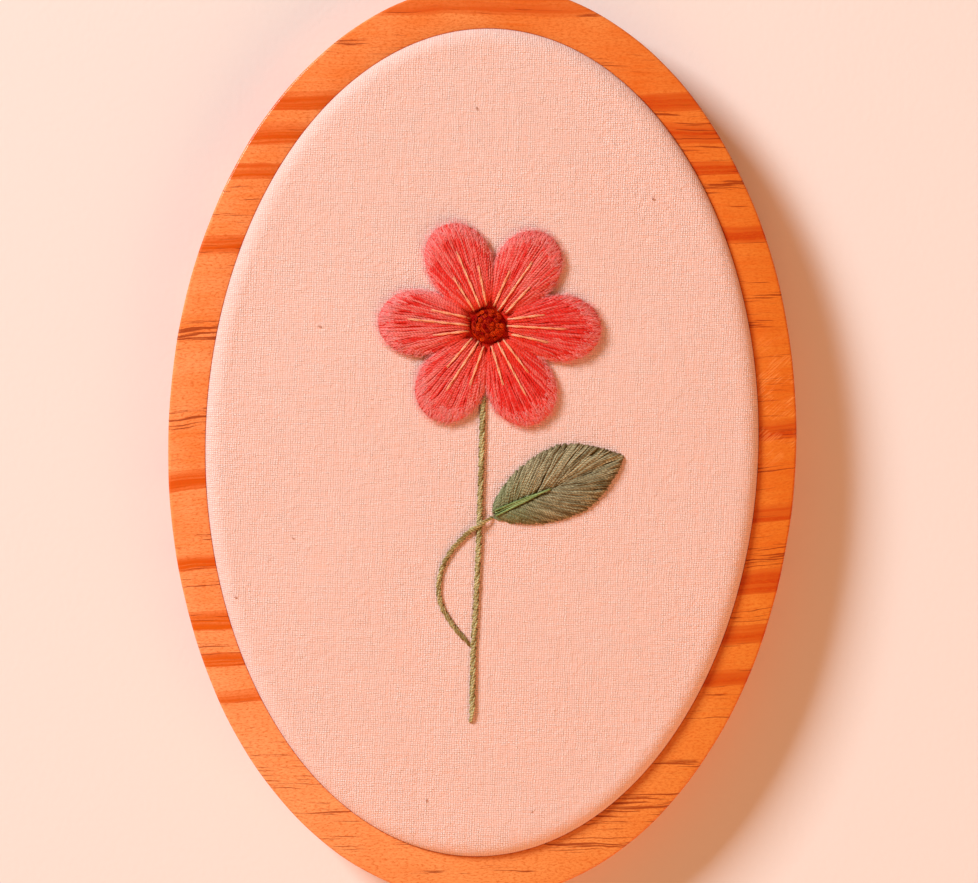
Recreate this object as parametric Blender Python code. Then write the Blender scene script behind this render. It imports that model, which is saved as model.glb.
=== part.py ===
"""Embroidered flower on a cloth panel, set in an oval pine hoop frame.

The piece lies on its back. The origin is the centre of the back, +X is right, +Y is
towards the flower and +Z comes out of the cloth. Everything is in metres.
"""

import math

import bmesh
import bpy
import numpy as np

MM = 0.001

# Wood ring, sawn from one plank
FRAME_WIDTH = 120 * MM
FRAME_HEIGHT = 175 * MM
FRAME_THICKNESS = 12 * MM
FRAME_EDGE_RADIUS = 1.0 * MM
WINDOW_EDGE_RADIUS = 0.4 * MM
OVAL_STEPS = 80
EDGE_STEPS = 3

# Cloth-covered panel, pressed into the ring's window
PANEL_WIDTH = 105 * MM
PANEL_HEIGHT = 157.5 * MM
PANEL_BACK = 0.6 * MM
PANEL_RISE = 2.2 * MM
PANEL_CROWN = 1.0 * MM
SHOULDER_RADIUS = 2.2 * MM
BACK_EDGE_RADIUS = 0.8 * MM
FACE_HALF_X = PANEL_WIDTH / 2 - SHOULDER_RADIUS
FACE_HALF_Y = PANEL_HEIGHT / 2 - SHOULDER_RADIUS
FACE_EDGE = FRAME_THICKNESS + PANEL_RISE
SHOULDER_STEPS = 5
FACE_RINGS = (0.9, 0.72, 0.5, 0.26)

# The space that touching pieces keep
GAP = 0.3 * MM

# Flower: where it sits, and how thick its padded petals and knotted centre are
FLOWER_X = 0.6 * MM
FLOWER_Y = 22.2 * MM
KNOTS_RADIUS = 3.4 * MM
PETAL_START = KNOTS_RADIUS + GAP
# share of a petal's length where it is widest, and how far its swell reaches inwards
PETAL_WIDEST = 0.66
PETAL_INNER_REACH = 11.0 * MM
PETAL_SPINE_START = PETAL_START + 1.4 * MM
PETAL_SIDE_STEPS = 6
PETAL_END_STEPS = 7
# name, direction in degrees from +X, length from the flower's centre and width in mm
PETALS = (
    ("petal_right", -0.5, 21.7, 12.8),
    ("petal_upper_right", 57.5, 20.9, 12.6),
    ("petal_upper_left", 116.0, 21.1, 12.8),
    ("petal_left", 179.0, 21.1, 12.6),
    ("petal_lower_left", 239.0, 20.8, 13.1),
    ("petal_lower_right", 299.7, 21.0, 13.1),
)
# share of the way out from the spine, height above the underside in mm
PETAL_SECTION = ((1.0, 0.5), (0.96, 0.95), (0.86, 1.3), (0.66, 1.6), (0.4, 1.75), (0.12, 1.8))
LEAF_SECTION = ((1.0, 0.3), (0.93, 0.6), (0.75, 0.85), (0.5, 0.9), (0.25, 0.75), (0.06, 0.6))

# Knotted centre: one knot in the middle and two rings round it
KNOT_RINGS = ((0.0, 1), (1.35, 6), (2.62, 12))
KNOT_HEIGHT = 0.45 * MM
KNOT_SPREAD = 0.62 * MM
KNOTS_DOME = 2.1 * MM
KNOTS_RIM = 0.9 * MM
KNOTS_STEPS = 48
KNOTS_LOOPS = 10

# Stem and leaf stalk, a row of slanted stitches that lies on the cloth like twisted cord
STEM_RADIUS = 0.5 * MM
STALK_RADIUS = 0.44 * MM
CORD_TURN = 3.2 * MM
CORD_STEPS_A_TURN = 8
CORD_SIDES = 8
CORD_LOBE_DEPTH = 0.26
# x and y in mm, from the flower down
STEM_ROUTE = ((-0.05, 7.0), (-0.1, -15.0), (-0.35, -30.0), (-0.65, -39.5), (-0.55, -53.3))
# x and y in mm, from the stem out and round to the leaf
STALK_ROUTE = (
    (-2.0, -37.7),
    (-4.35, -35.3),
    (-7.15, -30.6),
    (-7.35, -25.6),
    (-5.6, -21.2),
    (-2.35, -17.4),
    (-0.05, -15.7),
    (1.85, -14.3),
)
CROSSING_Y = -15.7 * MM
CROSSING_SPREAD = 1.7 * MM
CROSSING_RISE = 2 * STEM_RADIUS + GAP

# Leaf, from its base at the stalk to its tip
LEAF_BASE = (2.6 * MM, -13.5 * MM)
LEAF_LENGTH = 27.2 * MM
LEAF_DIRECTION = 25.2
LEAF_UPPER_WIDTH = 7.2 * MM
LEAF_LOWER_WIDTH = 6.5 * MM
LEAF_WIDEST = 0.56
LEAF_BASE_POWER = 0.7
LEAF_TIP_POWER = 1.8
LEAF_TOOTH = 0.22 * MM
LEAF_STEPS = 14
LEAF_ENDS = (0.015, 0.985)
LEAF_SPINE_ENDS = (0.08, 0.9)
LEAF_GROOVE = 0.3

# Bright stitches along the first part of the leaf's midrib
MIDRIB_FROM = 0.06
MIDRIB_TO = 0.42
MIDRIB_THICK = 0.6 * MM
MIDRIB_THIN = 0.25 * MM
MIDRIB_STEPS = 9


def clear_scene():
    """Removes whatever the file holds when it opens."""
    for thing in list(bpy.data.objects):
        bpy.data.objects.remove(thing, do_unlink=True)


def finish(name, colour, roughness):
    """A plain matt material of the piece's main colour."""
    material = bpy.data.materials.new(name)
    material.use_nodes = True
    shader = material.node_tree.nodes["Principled BSDF"]
    shader.inputs["Base Color"].default_value = (*colour, 1.0)
    shader.inputs["Roughness"].default_value = roughness
    return material


def add_object(name, data, material, parent):
    """Puts the mesh or curve into the scene, under the parent."""
    thing = bpy.data.objects.new(name, data)
    data.materials.append(material)
    bpy.context.scene.collection.objects.link(thing)
    thing.parent = parent
    return thing


def face_height(x, y):
    """Height of the cloth's face: its edge, plus a crown that falls off as an ellipse."""
    return FACE_EDGE + PANEL_CROWN * (1 - (x / FACE_HALF_X) ** 2 - (y / FACE_HALF_Y) ** 2)


def ellipse(half_x, half_y, z):
    """Points once round an ellipse at height z, anticlockwise from +X."""
    turn = np.linspace(0, 2 * math.pi, OVAL_STEPS, endpoint=False)
    return np.column_stack([half_x * np.cos(turn), half_y * np.sin(turn), np.full(OVAL_STEPS, z)])


def quarter_round(radius, steps):
    """Pairs of inset and drop along a quarter circle, from the side to the face."""
    turn = np.linspace(0, math.pi / 2, steps + 1)
    return list(zip(radius * (1 - np.cos(turn)), radius * (1 - np.sin(turn))))


def skin(name, loops, joined=False):
    """A mesh skinned over loops of equal counts.

    Its ends are capped with flat faces, or with joined=True the last loop meets the
    first, which makes a ring.
    """
    shell = bmesh.new()
    rows = [[shell.verts.new(point) for point in loop] for loop in loops]
    pairs = list(zip(rows, rows[1:]))
    if joined:
        pairs.append((rows[-1], rows[0]))
    for lower, upper in pairs:
        for i in range(len(lower)):
            j = (i + 1) % len(lower)
            shell.faces.new((lower[i], lower[j], upper[j], upper[i]))
    if not joined:
        shell.faces.new(rows[0])
        shell.faces.new(rows[-1])
    bmesh.ops.recalc_face_normals(shell, faces=shell.faces)
    mesh = bpy.data.meshes.new(name)
    shell.to_mesh(mesh)
    shell.free()
    mesh.shade_smooth()
    mesh.set_sharp_from_angle(angle=math.radians(40))
    return mesh


def ring_mesh():
    """The wood ring: a flat section with rounded edges, carried round the oval."""
    half_x = FRAME_WIDTH / 2
    half_y = FRAME_HEIGHT / 2
    hole_x = PANEL_WIDTH / 2 + GAP
    hole_y = PANEL_HEIGHT / 2 + GAP
    loops = []
    for inset, drop in reversed(quarter_round(FRAME_EDGE_RADIUS, EDGE_STEPS)):
        loops.append(ellipse(half_x - inset, half_y - inset, drop))
    for inset, drop in quarter_round(FRAME_EDGE_RADIUS, EDGE_STEPS):
        loops.append(ellipse(half_x - inset, half_y - inset, FRAME_THICKNESS - drop))
    for inset, drop in reversed(quarter_round(WINDOW_EDGE_RADIUS, EDGE_STEPS - 1)):
        loops.append(ellipse(hole_x + inset, hole_y + inset, FRAME_THICKNESS - drop))
    loops.append(ellipse(hole_x, hole_y, 0))
    return skin("wood_frame", loops, joined=True)


def panel_mesh():
    """The covered panel: flat back, straight sides, soft shoulder and crowned face."""
    half_x = PANEL_WIDTH / 2
    half_y = PANEL_HEIGHT / 2
    loops = []
    for inset, drop in reversed(quarter_round(BACK_EDGE_RADIUS, EDGE_STEPS - 1)):
        loops.append(ellipse(half_x - inset, half_y - inset, PANEL_BACK + drop))
    for inset, drop in quarter_round(SHOULDER_RADIUS, SHOULDER_STEPS):
        loops.append(ellipse(half_x - inset, half_y - inset, FACE_EDGE - drop))
    for share in FACE_RINGS:
        height = FACE_EDGE + PANEL_CROWN * (1 - share**2)
        loops.append(ellipse(FACE_HALF_X * share, FACE_HALF_Y * share, height))
    return skin("cloth_panel", loops)


def pad_mesh(name, outline, spine, section):
    """A stitched pad: its outline drawn in towards a spine while it rises as the section says.

    outline and spine are equal lists of x and y, and each point of the outline moves
    towards its own point of the spine. The underside follows the cloth.
    """
    outline = np.array(outline)
    spine = np.array(spine)
    loops = []
    for share, height in ((1.0, 0.0), *section):
        flat = spine + share * (outline - spine)
        base = face_height(flat[:, 0], flat[:, 1]) + GAP
        loops.append(np.column_stack([flat, base + height * MM]))
    return skin(name, loops)


def petal_leans():
    """For each petal, half the angle to the petal before and after it, in radians."""
    directions = [row[1] for row in PETALS]
    after = [(b - a) % 360 / 2 for a, b in zip(directions, directions[1:] + directions[:1])]
    before = after[-1:] + after[:-1]
    return [(math.radians(low), math.radians(high)) for low, high in zip(before, after)]


def petal_half_width(along, length, width, lean):
    """Half width at a distance from the flower's centre.

    It swells as an ellipse about the widest place, longer inwards than outwards, and
    stays on its own side of the line halfway to the next petal.
    """
    widest = PETAL_WIDEST * length
    reach = np.where(along > widest, length - widest, PETAL_INNER_REACH)
    swell = width / 2 * np.sqrt(np.clip(1 - ((along - widest) / reach) ** 2, 0, None))
    room = along * math.tan(lean) - GAP / 2 / math.cos(lean)
    return np.minimum(swell, room)


def petal_outline(direction, length, width, leans):
    """Outline and spine of a petal, worked out along +X, then turned to its direction."""
    widest = PETAL_WIDEST * length
    turn = np.linspace(0, math.pi / 2, PETAL_END_STEPS, endpoint=False)
    along = np.concatenate([
        np.linspace(PETAL_START, widest, PETAL_SIDE_STEPS, endpoint=False),
        widest + (length - widest) * np.sin(turn),
    ])
    lower = np.column_stack([along, -petal_half_width(along, length, width, leans[0])])
    upper = np.column_stack([along, petal_half_width(along, length, width, leans[1])])
    outline = np.vstack([lower, [[length, 0.0]], upper[::-1]])
    spine = np.zeros_like(outline)
    spine[:, 0] = np.clip(outline[:, 0], PETAL_SPINE_START, widest)
    return place(outline, direction), place(spine, direction)


def place(flat, direction, origin=(FLOWER_X, FLOWER_Y)):
    """Turns points by direction degrees and moves them to the origin given."""
    turn = math.radians(direction)
    across = np.array([[math.cos(turn), math.sin(turn)], [-math.sin(turn), math.cos(turn)]])
    return flat @ across + np.array(origin)


def knots_mesh():
    """The knotted centre: a low dome with a bump for each knot of its two rings."""
    turn = np.linspace(0, 2 * math.pi, KNOTS_STEPS, endpoint=False)
    knots = []
    for radius, count in KNOT_RINGS:
        for i in range(count):
            angle = 2 * math.pi * i / count
            knots.append((radius * MM * math.cos(angle), radius * MM * math.sin(angle)))
    knots = np.array(knots)
    loops = []
    for step in range(-1, KNOTS_LOOPS):
        share = 1 - max(step, 0) / KNOTS_LOOPS
        flat = KNOTS_RADIUS * share * np.column_stack([np.cos(turn), np.sin(turn)])
        away = np.linalg.norm(flat[:, None] - knots[None], axis=2).min(axis=1)
        height = KNOTS_RIM + (KNOTS_DOME - KNOTS_RIM) * math.sqrt(1 - share**2)
        height = height + KNOT_HEIGHT * np.exp(-((away / KNOT_SPREAD) ** 2))
        flat = flat + (FLOWER_X, FLOWER_Y)
        base = face_height(flat[:, 0], flat[:, 1]) + GAP
        loops.append(np.column_stack([flat, base + (height if step >= 0 else 0)]))
    return skin("flower_centre", loops)


def smooth_route(points, spacing):
    """A curve through the points, read at equal steps of about the spacing.

    Each stretch is a cubic whose end slopes point from one neighbour to the next. The
    fine reading is then resampled by its length.
    """
    points = np.array(points) * MM
    padded = np.vstack([2 * points[0] - points[1], points, 2 * points[-1] - points[-2]])
    t = np.linspace(0, 1, 40, endpoint=False)[:, None]
    found = []
    for before, start, end, after in zip(padded, padded[1:], padded[2:], padded[3:]):
        found.append(
            (2 * t**3 - 3 * t**2 + 1) * start
            + (t**3 - 2 * t**2 + t) * (end - before) / 2
            + (3 * t**2 - 2 * t**3) * end
            + (t**3 - t**2) * (after - start) / 2
        )
    fine = np.vstack([*found, points[-1:]])
    length = np.append(0, np.cumsum(np.linalg.norm(np.diff(fine, axis=0), axis=1)))
    even = np.linspace(0, length[-1], round(length[-1] / spacing) + 1)
    return np.column_stack([np.interp(even, length, fine[:, 0]), np.interp(even, length, fine[:, 1])])


def cord_mesh(name, route, lifts, radii, turn_step=0.0, lobe_depth=0.0):
    """A cord along the route, each point lifted above the cloth by its own lift.

    Its section has two lobes, and turns by turn_step from each point to the next.
    """
    route = np.array(route)
    heights = face_height(route[:, 0], route[:, 1]) + GAP + lifts
    points = np.column_stack([route, heights])
    along = np.gradient(points, axis=0)
    along /= np.linalg.norm(along, axis=1)[:, None]
    across = np.cross(along, (0, 0, 1))
    across /= np.linalg.norm(across, axis=1)[:, None]
    up = np.cross(across, along)
    side = np.linspace(0, 2 * math.pi, CORD_SIDES, endpoint=False)
    shape = 1 - lobe_depth * np.sin(side) ** 2
    loops = []
    for i, point in enumerate(points):
        angle = (side + i * turn_step)[:, None]
        reach = (radii[i] * shape)[:, None]
        loops.append(point + reach * (np.cos(angle) * across[i] + np.sin(angle) * up[i]))
    return skin(name, loops)


def twisted_cord(name, points, radius, rise_at):
    """A twisted cord through the points, raised where rise_at says, on the route given."""
    route = smooth_route(points, CORD_TURN / CORD_STEPS_A_TURN)
    radii = np.full(len(route), radius)
    turn_step = 2 * math.pi / CORD_STEPS_A_TURN
    return cord_mesh(name, route, radii + rise_at(route), radii, turn_step, CORD_LOBE_DEPTH)


def leaf_outline():
    """Outline and spine of the leaf: a slimmed half ellipse at the base, a power curve to the tip.

    Every second point of the edge stands out by a tooth, as slanted stitches do.
    """
    share = np.linspace(*LEAF_ENDS, LEAF_STEPS)
    base = (1 - np.clip((LEAF_WIDEST - share) / LEAF_WIDEST, 0, 1) ** 2) ** LEAF_BASE_POWER
    tip = 1 - np.clip((share - LEAF_WIDEST) / (1 - LEAF_WIDEST), 0, 1) ** LEAF_TIP_POWER
    swell = np.where(share < LEAF_WIDEST, base, tip)
    tooth = LEAF_TOOTH * (np.arange(LEAF_STEPS) % 2)
    lower = np.column_stack([share * LEAF_LENGTH, -(LEAF_LOWER_WIDTH * swell + tooth)])
    upper = np.column_stack([share * LEAF_LENGTH, LEAF_UPPER_WIDTH * swell + tooth])
    point = np.array([[LEAF_LENGTH, 0.0]])
    outline = np.vstack([lower, point, upper[::-1]])
    spine = np.zeros_like(outline)
    low, high = LEAF_SPINE_ENDS
    spine[:, 0] = np.clip(outline[:, 0], low * LEAF_LENGTH, high * LEAF_LENGTH)
    return (
        place(outline, LEAF_DIRECTION, LEAF_BASE),
        place(spine, LEAF_DIRECTION, LEAF_BASE),
    )


def midrib_mesh():
    """Bright stitches that lie in the leaf's middle groove and thin out to a point."""
    share = np.linspace(MIDRIB_FROM, MIDRIB_TO, MIDRIB_STEPS)
    straight = np.column_stack([share * LEAF_LENGTH, np.zeros(MIDRIB_STEPS)])
    route = place(straight, LEAF_DIRECTION, LEAF_BASE)
    radii = np.linspace(MIDRIB_THICK, MIDRIB_THIN, MIDRIB_STEPS)
    groove = max(height for share, height in LEAF_SECTION if share < LEAF_GROOVE) * MM
    return cord_mesh("leaf_midrib", route, groove + GAP + radii, radii)


def stalk_rise(route):
    """How far the stalk rises along its route, to pass over the stem."""
    near = np.linalg.norm(route - (0.0, CROSSING_Y), axis=1)
    return CROSSING_RISE * np.exp(-((near / CROSSING_SPREAD) ** 2))


def no_rise(route):
    """The stem lies flat on the cloth all the way."""
    return np.zeros(len(route))


def main():
    """Builds every piece, each in its own object, under one empty."""
    clear_scene()
    whole = bpy.data.objects.new("embroidered_hoop_frame", None)
    bpy.context.scene.collection.objects.link(whole)

    pine = finish("oiled_pine", (0.78, 0.36, 0.13), 0.45)
    cotton = finish("cotton_cloth", (0.87, 0.62, 0.52), 0.9)
    coral = finish("coral_thread", (0.75, 0.12, 0.13), 0.5)
    dark_red = finish("dark_red_thread", (0.42, 0.03, 0.01), 0.55)
    olive = finish("olive_thread", (0.24, 0.25, 0.12), 0.55)
    grey_green = finish("grey_green_thread", (0.20, 0.26, 0.17), 0.5)
    bright_green = finish("bright_green_thread", (0.33, 0.47, 0.24), 0.5)

    add_object("wood_frame", ring_mesh(), pine, whole)
    add_object("cloth_panel", panel_mesh(), cotton, whole)
    for (name, direction, length, width), leans in zip(PETALS, petal_leans()):
        outline, spine = petal_outline(direction, length * MM, width * MM, leans)
        add_object(name, pad_mesh(name, outline, spine, PETAL_SECTION), coral, whole)
    add_object("flower_centre", knots_mesh(), dark_red, whole)
    stem = twisted_cord("stem", STEM_ROUTE, STEM_RADIUS, no_rise)
    stalk = twisted_cord("leaf_stalk", STALK_ROUTE, STALK_RADIUS, stalk_rise)
    add_object("stem", stem, olive, whole)
    add_object("leaf_stalk", stalk, olive, whole)
    add_object("leaf", pad_mesh("leaf", *leaf_outline(), LEAF_SECTION), grey_green, whole)
    add_object("leaf_midrib", midrib_mesh(), bright_green, whole)


main()
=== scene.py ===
# %% [markdown]
# # An embroidered flower in an oval pine frame
# The real object is a small oval panel covered in peach cotton, pressed into a ring that
# was sawn from one pine plank. A padded flower with a stem and a leaf is sewn on the
# cloth. It lies on its back, so +Z comes out of the cloth and +Y points to the flower.
#
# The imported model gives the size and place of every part. This lesson dresses it: each
# part is worked out as a surface with numpy, in millimetres, and then gets a material
# made of nodes. We start by loading the frame and noting its box, because nothing that
# we add may grow much past it.

import math

import bpy
import numpy as np
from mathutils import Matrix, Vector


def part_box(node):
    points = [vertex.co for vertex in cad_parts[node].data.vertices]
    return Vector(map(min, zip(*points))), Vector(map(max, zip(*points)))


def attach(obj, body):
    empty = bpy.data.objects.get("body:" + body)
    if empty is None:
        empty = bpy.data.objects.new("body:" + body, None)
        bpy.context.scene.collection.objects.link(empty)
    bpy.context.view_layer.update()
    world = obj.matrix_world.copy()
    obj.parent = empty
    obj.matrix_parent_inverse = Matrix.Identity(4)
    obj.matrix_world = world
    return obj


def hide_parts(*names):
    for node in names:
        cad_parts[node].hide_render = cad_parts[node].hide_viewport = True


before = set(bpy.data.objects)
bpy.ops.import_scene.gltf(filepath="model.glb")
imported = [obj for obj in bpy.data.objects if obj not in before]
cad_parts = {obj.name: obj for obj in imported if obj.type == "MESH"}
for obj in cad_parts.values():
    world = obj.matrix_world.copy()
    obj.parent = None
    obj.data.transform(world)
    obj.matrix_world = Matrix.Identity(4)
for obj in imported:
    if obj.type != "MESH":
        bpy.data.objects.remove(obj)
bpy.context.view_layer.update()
BODY = "root"
print("nodes:", ", ".join(sorted(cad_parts)))

# %% [markdown]
# ## The sizes that everything follows
# A maker would cut the panel first and sew by its outline, so all sizes hang on a few
# numbers: the two ovals, how far the panel stands out, and where the flower sits. The
# cloth isn't flat. It has a low crown, as cloth pulled over thin wadding has, and every
# stitch has to lie on that crown. One function gives its height, and the rest ask it.

# %% Sizes of the ring and the panel
MM = 0.001
lowest, highest = (np.array(corner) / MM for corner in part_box("wood_frame"))
FRAME_WIDTH, FRAME_HEIGHT, FRAME_THICKNESS = (highest - lowest).tolist()
FRAME_EDGE_RADIUS = 0.5
WINDOW_EDGE_RADIUS = 0.2
WINDOW_GAP = 0.3
lowest, highest = (np.array(corner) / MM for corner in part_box("cloth_panel"))
PANEL_WIDTH, PANEL_HEIGHT = (highest - lowest)[:2].tolist()
PANEL_BACK = float(lowest[2])
PANEL_RISE = 2.2
PANEL_CROWN = 1.0
SHOULDER_RADIUS = 2.2
SHOULDER_WIDTH = 3.2
BACK_EDGE_RADIUS = 0.8
CLOTH_SWELL = 0.26
FACE_HALF_X = PANEL_WIDTH / 2 - SHOULDER_RADIUS
FACE_HALF_Y = PANEL_HEIGHT / 2 - SHOULDER_RADIUS
FACE_EDGE = FRAME_THICKNESS + PANEL_RISE
FLOWER = (0.6, 22.2)


def face_height(x, y):
    """Cloth height: edge height plus crown times (1 - (x / half x)^2 - (y / half y)^2)."""
    return FACE_EDGE + PANEL_CROWN * (1 - (x / FACE_HALF_X) ** 2 - (y / FACE_HALF_Y) ** 2)


print(f"ring {FRAME_WIDTH:.1f} x {FRAME_HEIGHT:.1f} x {FRAME_THICKNESS:.1f} mm")
print(f"cloth height at the flower {face_height(*FLOWER):.2f} mm")

# %% [markdown]
# ## From arrays to a Blender object
# Everything here is either a closed sheet of quads or a bundle of threads, so a few small
# helpers are enough. The first three list the faces of a grid of points and of the ends
# that close it. The last puts whole arrays into a mesh at once with foreach_set, which is
# far quicker than adding faces one by one. It also measures the signed volume, the sum of
# triple products over all faces: if that comes out negative the faces point inwards, and it
# turns them round.

# %% Mesh helpers


def grid_quads(rows, columns, rows_meet=False):
    """Quads of a grid whose columns close into a ring: (i, j), (i, j+1), (i+1, j+1), (i+1, j)."""
    i = np.arange(rows if rows_meet else rows - 1)[:, None]
    j = np.arange(columns)[None, :]
    after_i = (i + 1) % rows
    after_j = (j + 1) % columns
    corners = [i * columns + j, i * columns + after_j, after_i * columns + after_j, after_i * columns + j]
    return np.stack(np.broadcast_arrays(*corners), axis=-1).reshape(-1, 4)


def pole_triangles(rim, pole):
    """Triangles from a ring of points to the one point that closes it."""
    return np.column_stack([rim, np.roll(rim, -1), np.full(len(rim), pole)])


def closed_rings(rings, around):
    """Quads and end triangles of stacked rings of points, whose two poles are listed last."""
    first = np.arange(around)
    last = first + (rings - 1) * around
    pole = rings * around
    caps = np.vstack([pole_triangles(first, pole)[:, ::-1], pole_triangles(last, pole + 1)])
    return grid_quads(rings, around), caps


def make_piece(name, points, faces, material, uv=None, tone=None):
    """An object from points in mm and a list of face arrays, with its faces turned outwards.

    uv holds one pair for each face corner, in the same layout as faces. tone is one number
    for each point, which a material reads as the attribute called tone.
    """
    fans = [part[:, [0, k, k + 1]] for part in faces for k in range(1, part.shape[1] - 1)]
    corners = points[np.concatenate(fans)]
    volume = np.einsum("ij,ij->", corners[:, 0], np.cross(corners[:, 1], corners[:, 2])) / 6
    turn = slice(None, None, -1 if volume < 0 else 1)
    sizes = np.concatenate([np.full(len(part), part.shape[1]) for part in faces])
    mesh = bpy.data.meshes.new(name)
    mesh.vertices.add(len(points))
    mesh.vertices.foreach_set("co", (points * MM).astype(np.float32).ravel())
    mesh.loops.add(int(sizes.sum()))
    mesh.loops.foreach_set("vertex_index", np.concatenate([part[:, turn].ravel() for part in faces]))
    mesh.polygons.add(len(sizes))
    mesh.polygons.foreach_set("loop_start", np.cumsum(sizes) - sizes)
    mesh.update(calc_edges=True)
    if uv is not None:
        layer = mesh.uv_layers.new(name="pattern")
        layer.uv.foreach_set("vector", np.concatenate([part[:, turn].ravel() for part in uv]))
    if tone is not None:
        mesh.attributes.new("tone", "FLOAT", "POINT").data.foreach_set("value", tone)
    mesh.shade_smooth()
    mesh.materials.append(material)
    piece = bpy.data.objects.new(name, mesh)
    bpy.context.scene.collection.objects.link(piece)
    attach(piece, BODY)
    print(f"{name}: {int((sizes - 2).sum())} triangles, {abs(volume) / 1000:.3f} cubic cm")
    return piece


# %% [markdown]
# ## Helpers for materials
# A material is a small graph. One helper adds any node, sets its properties and fills its
# inputs: a socket is linked, and any other value is set. It gives back an output, so calls
# can be nested like a formula. Colours are written as sRGB hex, as a picker shows them, and
# turned to the linear values that Blender computes with.
#
# Most patterns are stretched noise. A Mapping node of the texture kind divides by its
# scale, so its scale is simply the size of one streak or grain, and a short table beside
# each material lists those sizes in millimetres.

# %% Material helpers
MATH, MIX, NOISE = "ShaderNodeMath", "ShaderNodeMix", "ShaderNodeTexNoise"
MAPPING, RANGE, VECTOR = "ShaderNodeMapping", "ShaderNodeMapRange", "ShaderNodeVectorMath"
# inputs A and B of a Mix node that mixes colours, and the settings for one
COLOUR_A, COLOUR_B = 6, 7
COLOURS = {"data_type": "RGBA", "out": 2}
# and the same two inputs for numbers
NUMBER_A, NUMBER_B = 2, 3
RANGE_INPUTS = ("Value", "From Min", "From Max", "To Min", "To Max")


def linear(hex_colour):
    """sRGB hex to linear RGBA: c / 12.92 up to 0.04045, else ((c + 0.055) / 1.055)^2.4."""
    part = np.array([int(hex_colour[i : i + 2], 16) for i in (1, 3, 5)]) / 255
    curved = ((part + 0.055) / 1.055) ** 2.4
    return (*np.where(part <= 0.04045, part / 12.92, curved).tolist(), 1.0)


def add(tree, kind, inputs=(), out=0, stops=None, **settings):
    """Adds a node with its settings and gives its output called out, or all if out is None.

    inputs is a dict, or a tuple that fills them in order. A socket is linked, and any other
    value is set. stops are the places and grey values of a colour ramp.
    """
    made = tree.nodes.new(kind)
    for key, value in settings.items():
        setattr(made, key, value)
    for key, value in (inputs if isinstance(inputs, dict) else dict(enumerate(inputs))).items():
        if isinstance(value, bpy.types.NodeSocket):
            tree.links.new(value, made.inputs[key])
        else:
            made.inputs[key].default_value = value
    if stops:
        elements = made.color_ramp.elements
        for _ in stops[2:]:
            elements.new(1.0)
        for element, (place, value) in zip(elements, stops):
            element.position = place
            element.color = (value, value, value, 1.0)
    return made.outputs if out is None else made.outputs[out]


def new_material(name):
    """An empty material and its tree."""
    material = bpy.data.materials.new(name)
    material.use_nodes = True
    material.node_tree.nodes.clear()
    return material, material.node_tree


print("pine orange in linear light:", [round(part, 3) for part in linear("#fc8946")[:3]])

# %% [markdown]
# ## The camera
# The picture is taken square on to the cloth, so the camera looks straight down at the
# object on its back. The oval leans a little to the right in the picture, which is the
# same as a camera rolled a little to the left. The lens follows from the distance: the
# picture is 978 pixels wide and one pixel covers 0.1907 mm of the cloth.

# %% Camera
PIXEL = 0.1907
PICTURE_WIDTH, PICTURE_HEIGHT = 978, 883
OVAL_CENTRE_PX = (482.0, 442.5)
LEAN = math.radians(1.45)
CAMERA_DISTANCE = 900.0
FOCUS_HEIGHT = FRAME_THICKNESS + 1.0


def add_camera():
    """A camera above the point that the middle of the picture shows, rolled by the lean."""
    right = PICTURE_WIDTH / 2 - OVAL_CENTRE_PX[0]
    up = OVAL_CENTRE_PX[1] - PICTURE_HEIGHT / 2
    x = (right * math.cos(LEAN) - up * math.sin(LEAN)) * PIXEL
    y = (right * math.sin(LEAN) + up * math.cos(LEAN)) * PIXEL
    data = bpy.data.cameras.new("copy_stand_camera")
    data.sensor_fit = "HORIZONTAL"
    data.lens = data.sensor_width * CAMERA_DISTANCE / (PICTURE_WIDTH * PIXEL)
    camera = bpy.data.objects.new("copy_stand_camera", data)
    camera.location = (x * MM, y * MM, (FOCUS_HEIGHT + CAMERA_DISTANCE) * MM)
    camera.rotation_euler = (0, 0, LEAN)
    bpy.context.scene.collection.objects.link(camera)
    bpy.context.scene.camera = camera
    return data.lens


print(f"lens {add_camera():.1f} mm")

# %% [markdown]
# ## Light and floor
# The shadows fall to the right and down, half as long again as the petals are high. So one
# soft box stands at the upper left, 33 degrees above the floor. Its light is cool, like
# a window's, and the shadows are clearly orange, so what fills them is warm: a warm world,
# and a weak box at the lower right, like light thrown back. Where both meet on the flat
# cloth they add up to nearly white. The floor is a plain pale sheet. Standard colour is
# used, because a filmic curve would grey the orange wood.

# %% Light and floor
bpy.context.scene.view_settings.view_transform = "Standard"


def add_soft_box(name, azimuth, elevation, distance, size, watts, colour):
    """A square area light that looks at the origin from the direction given."""
    data = bpy.data.lights.new(name, "AREA")
    data.shape = "SQUARE"
    data.size = size
    data.energy = watts
    data.color = linear(colour)[:3]
    light = bpy.data.objects.new(name, data)
    around, above = math.radians(azimuth), math.radians(elevation)
    light.location = (
        distance * math.cos(above) * math.cos(around),
        distance * math.cos(above) * math.sin(around),
        distance * math.sin(above),
    )
    light.rotation_euler = (math.pi / 2 - above, 0, around + math.pi / 2)
    bpy.context.scene.collection.objects.link(light)


def add_world(colour, strength):
    """Even light from all round."""
    world = bpy.data.worlds.new("studio")
    world.use_nodes = True
    background = world.node_tree.nodes["Background"]
    background.inputs["Color"].default_value = linear(colour)
    background.inputs["Strength"].default_value = strength
    bpy.context.scene.world = world


add_soft_box("window_box", azimuth=143, elevation=33, distance=2.4, size=0.75, watts=93, colour="#d9eeff")
add_soft_box("warm_bounce", azimuth=302, elevation=28, distance=1.5, size=1.4, watts=19, colour="#ffbe8c")
add_world("#ffd1a9", 0.36)


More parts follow.
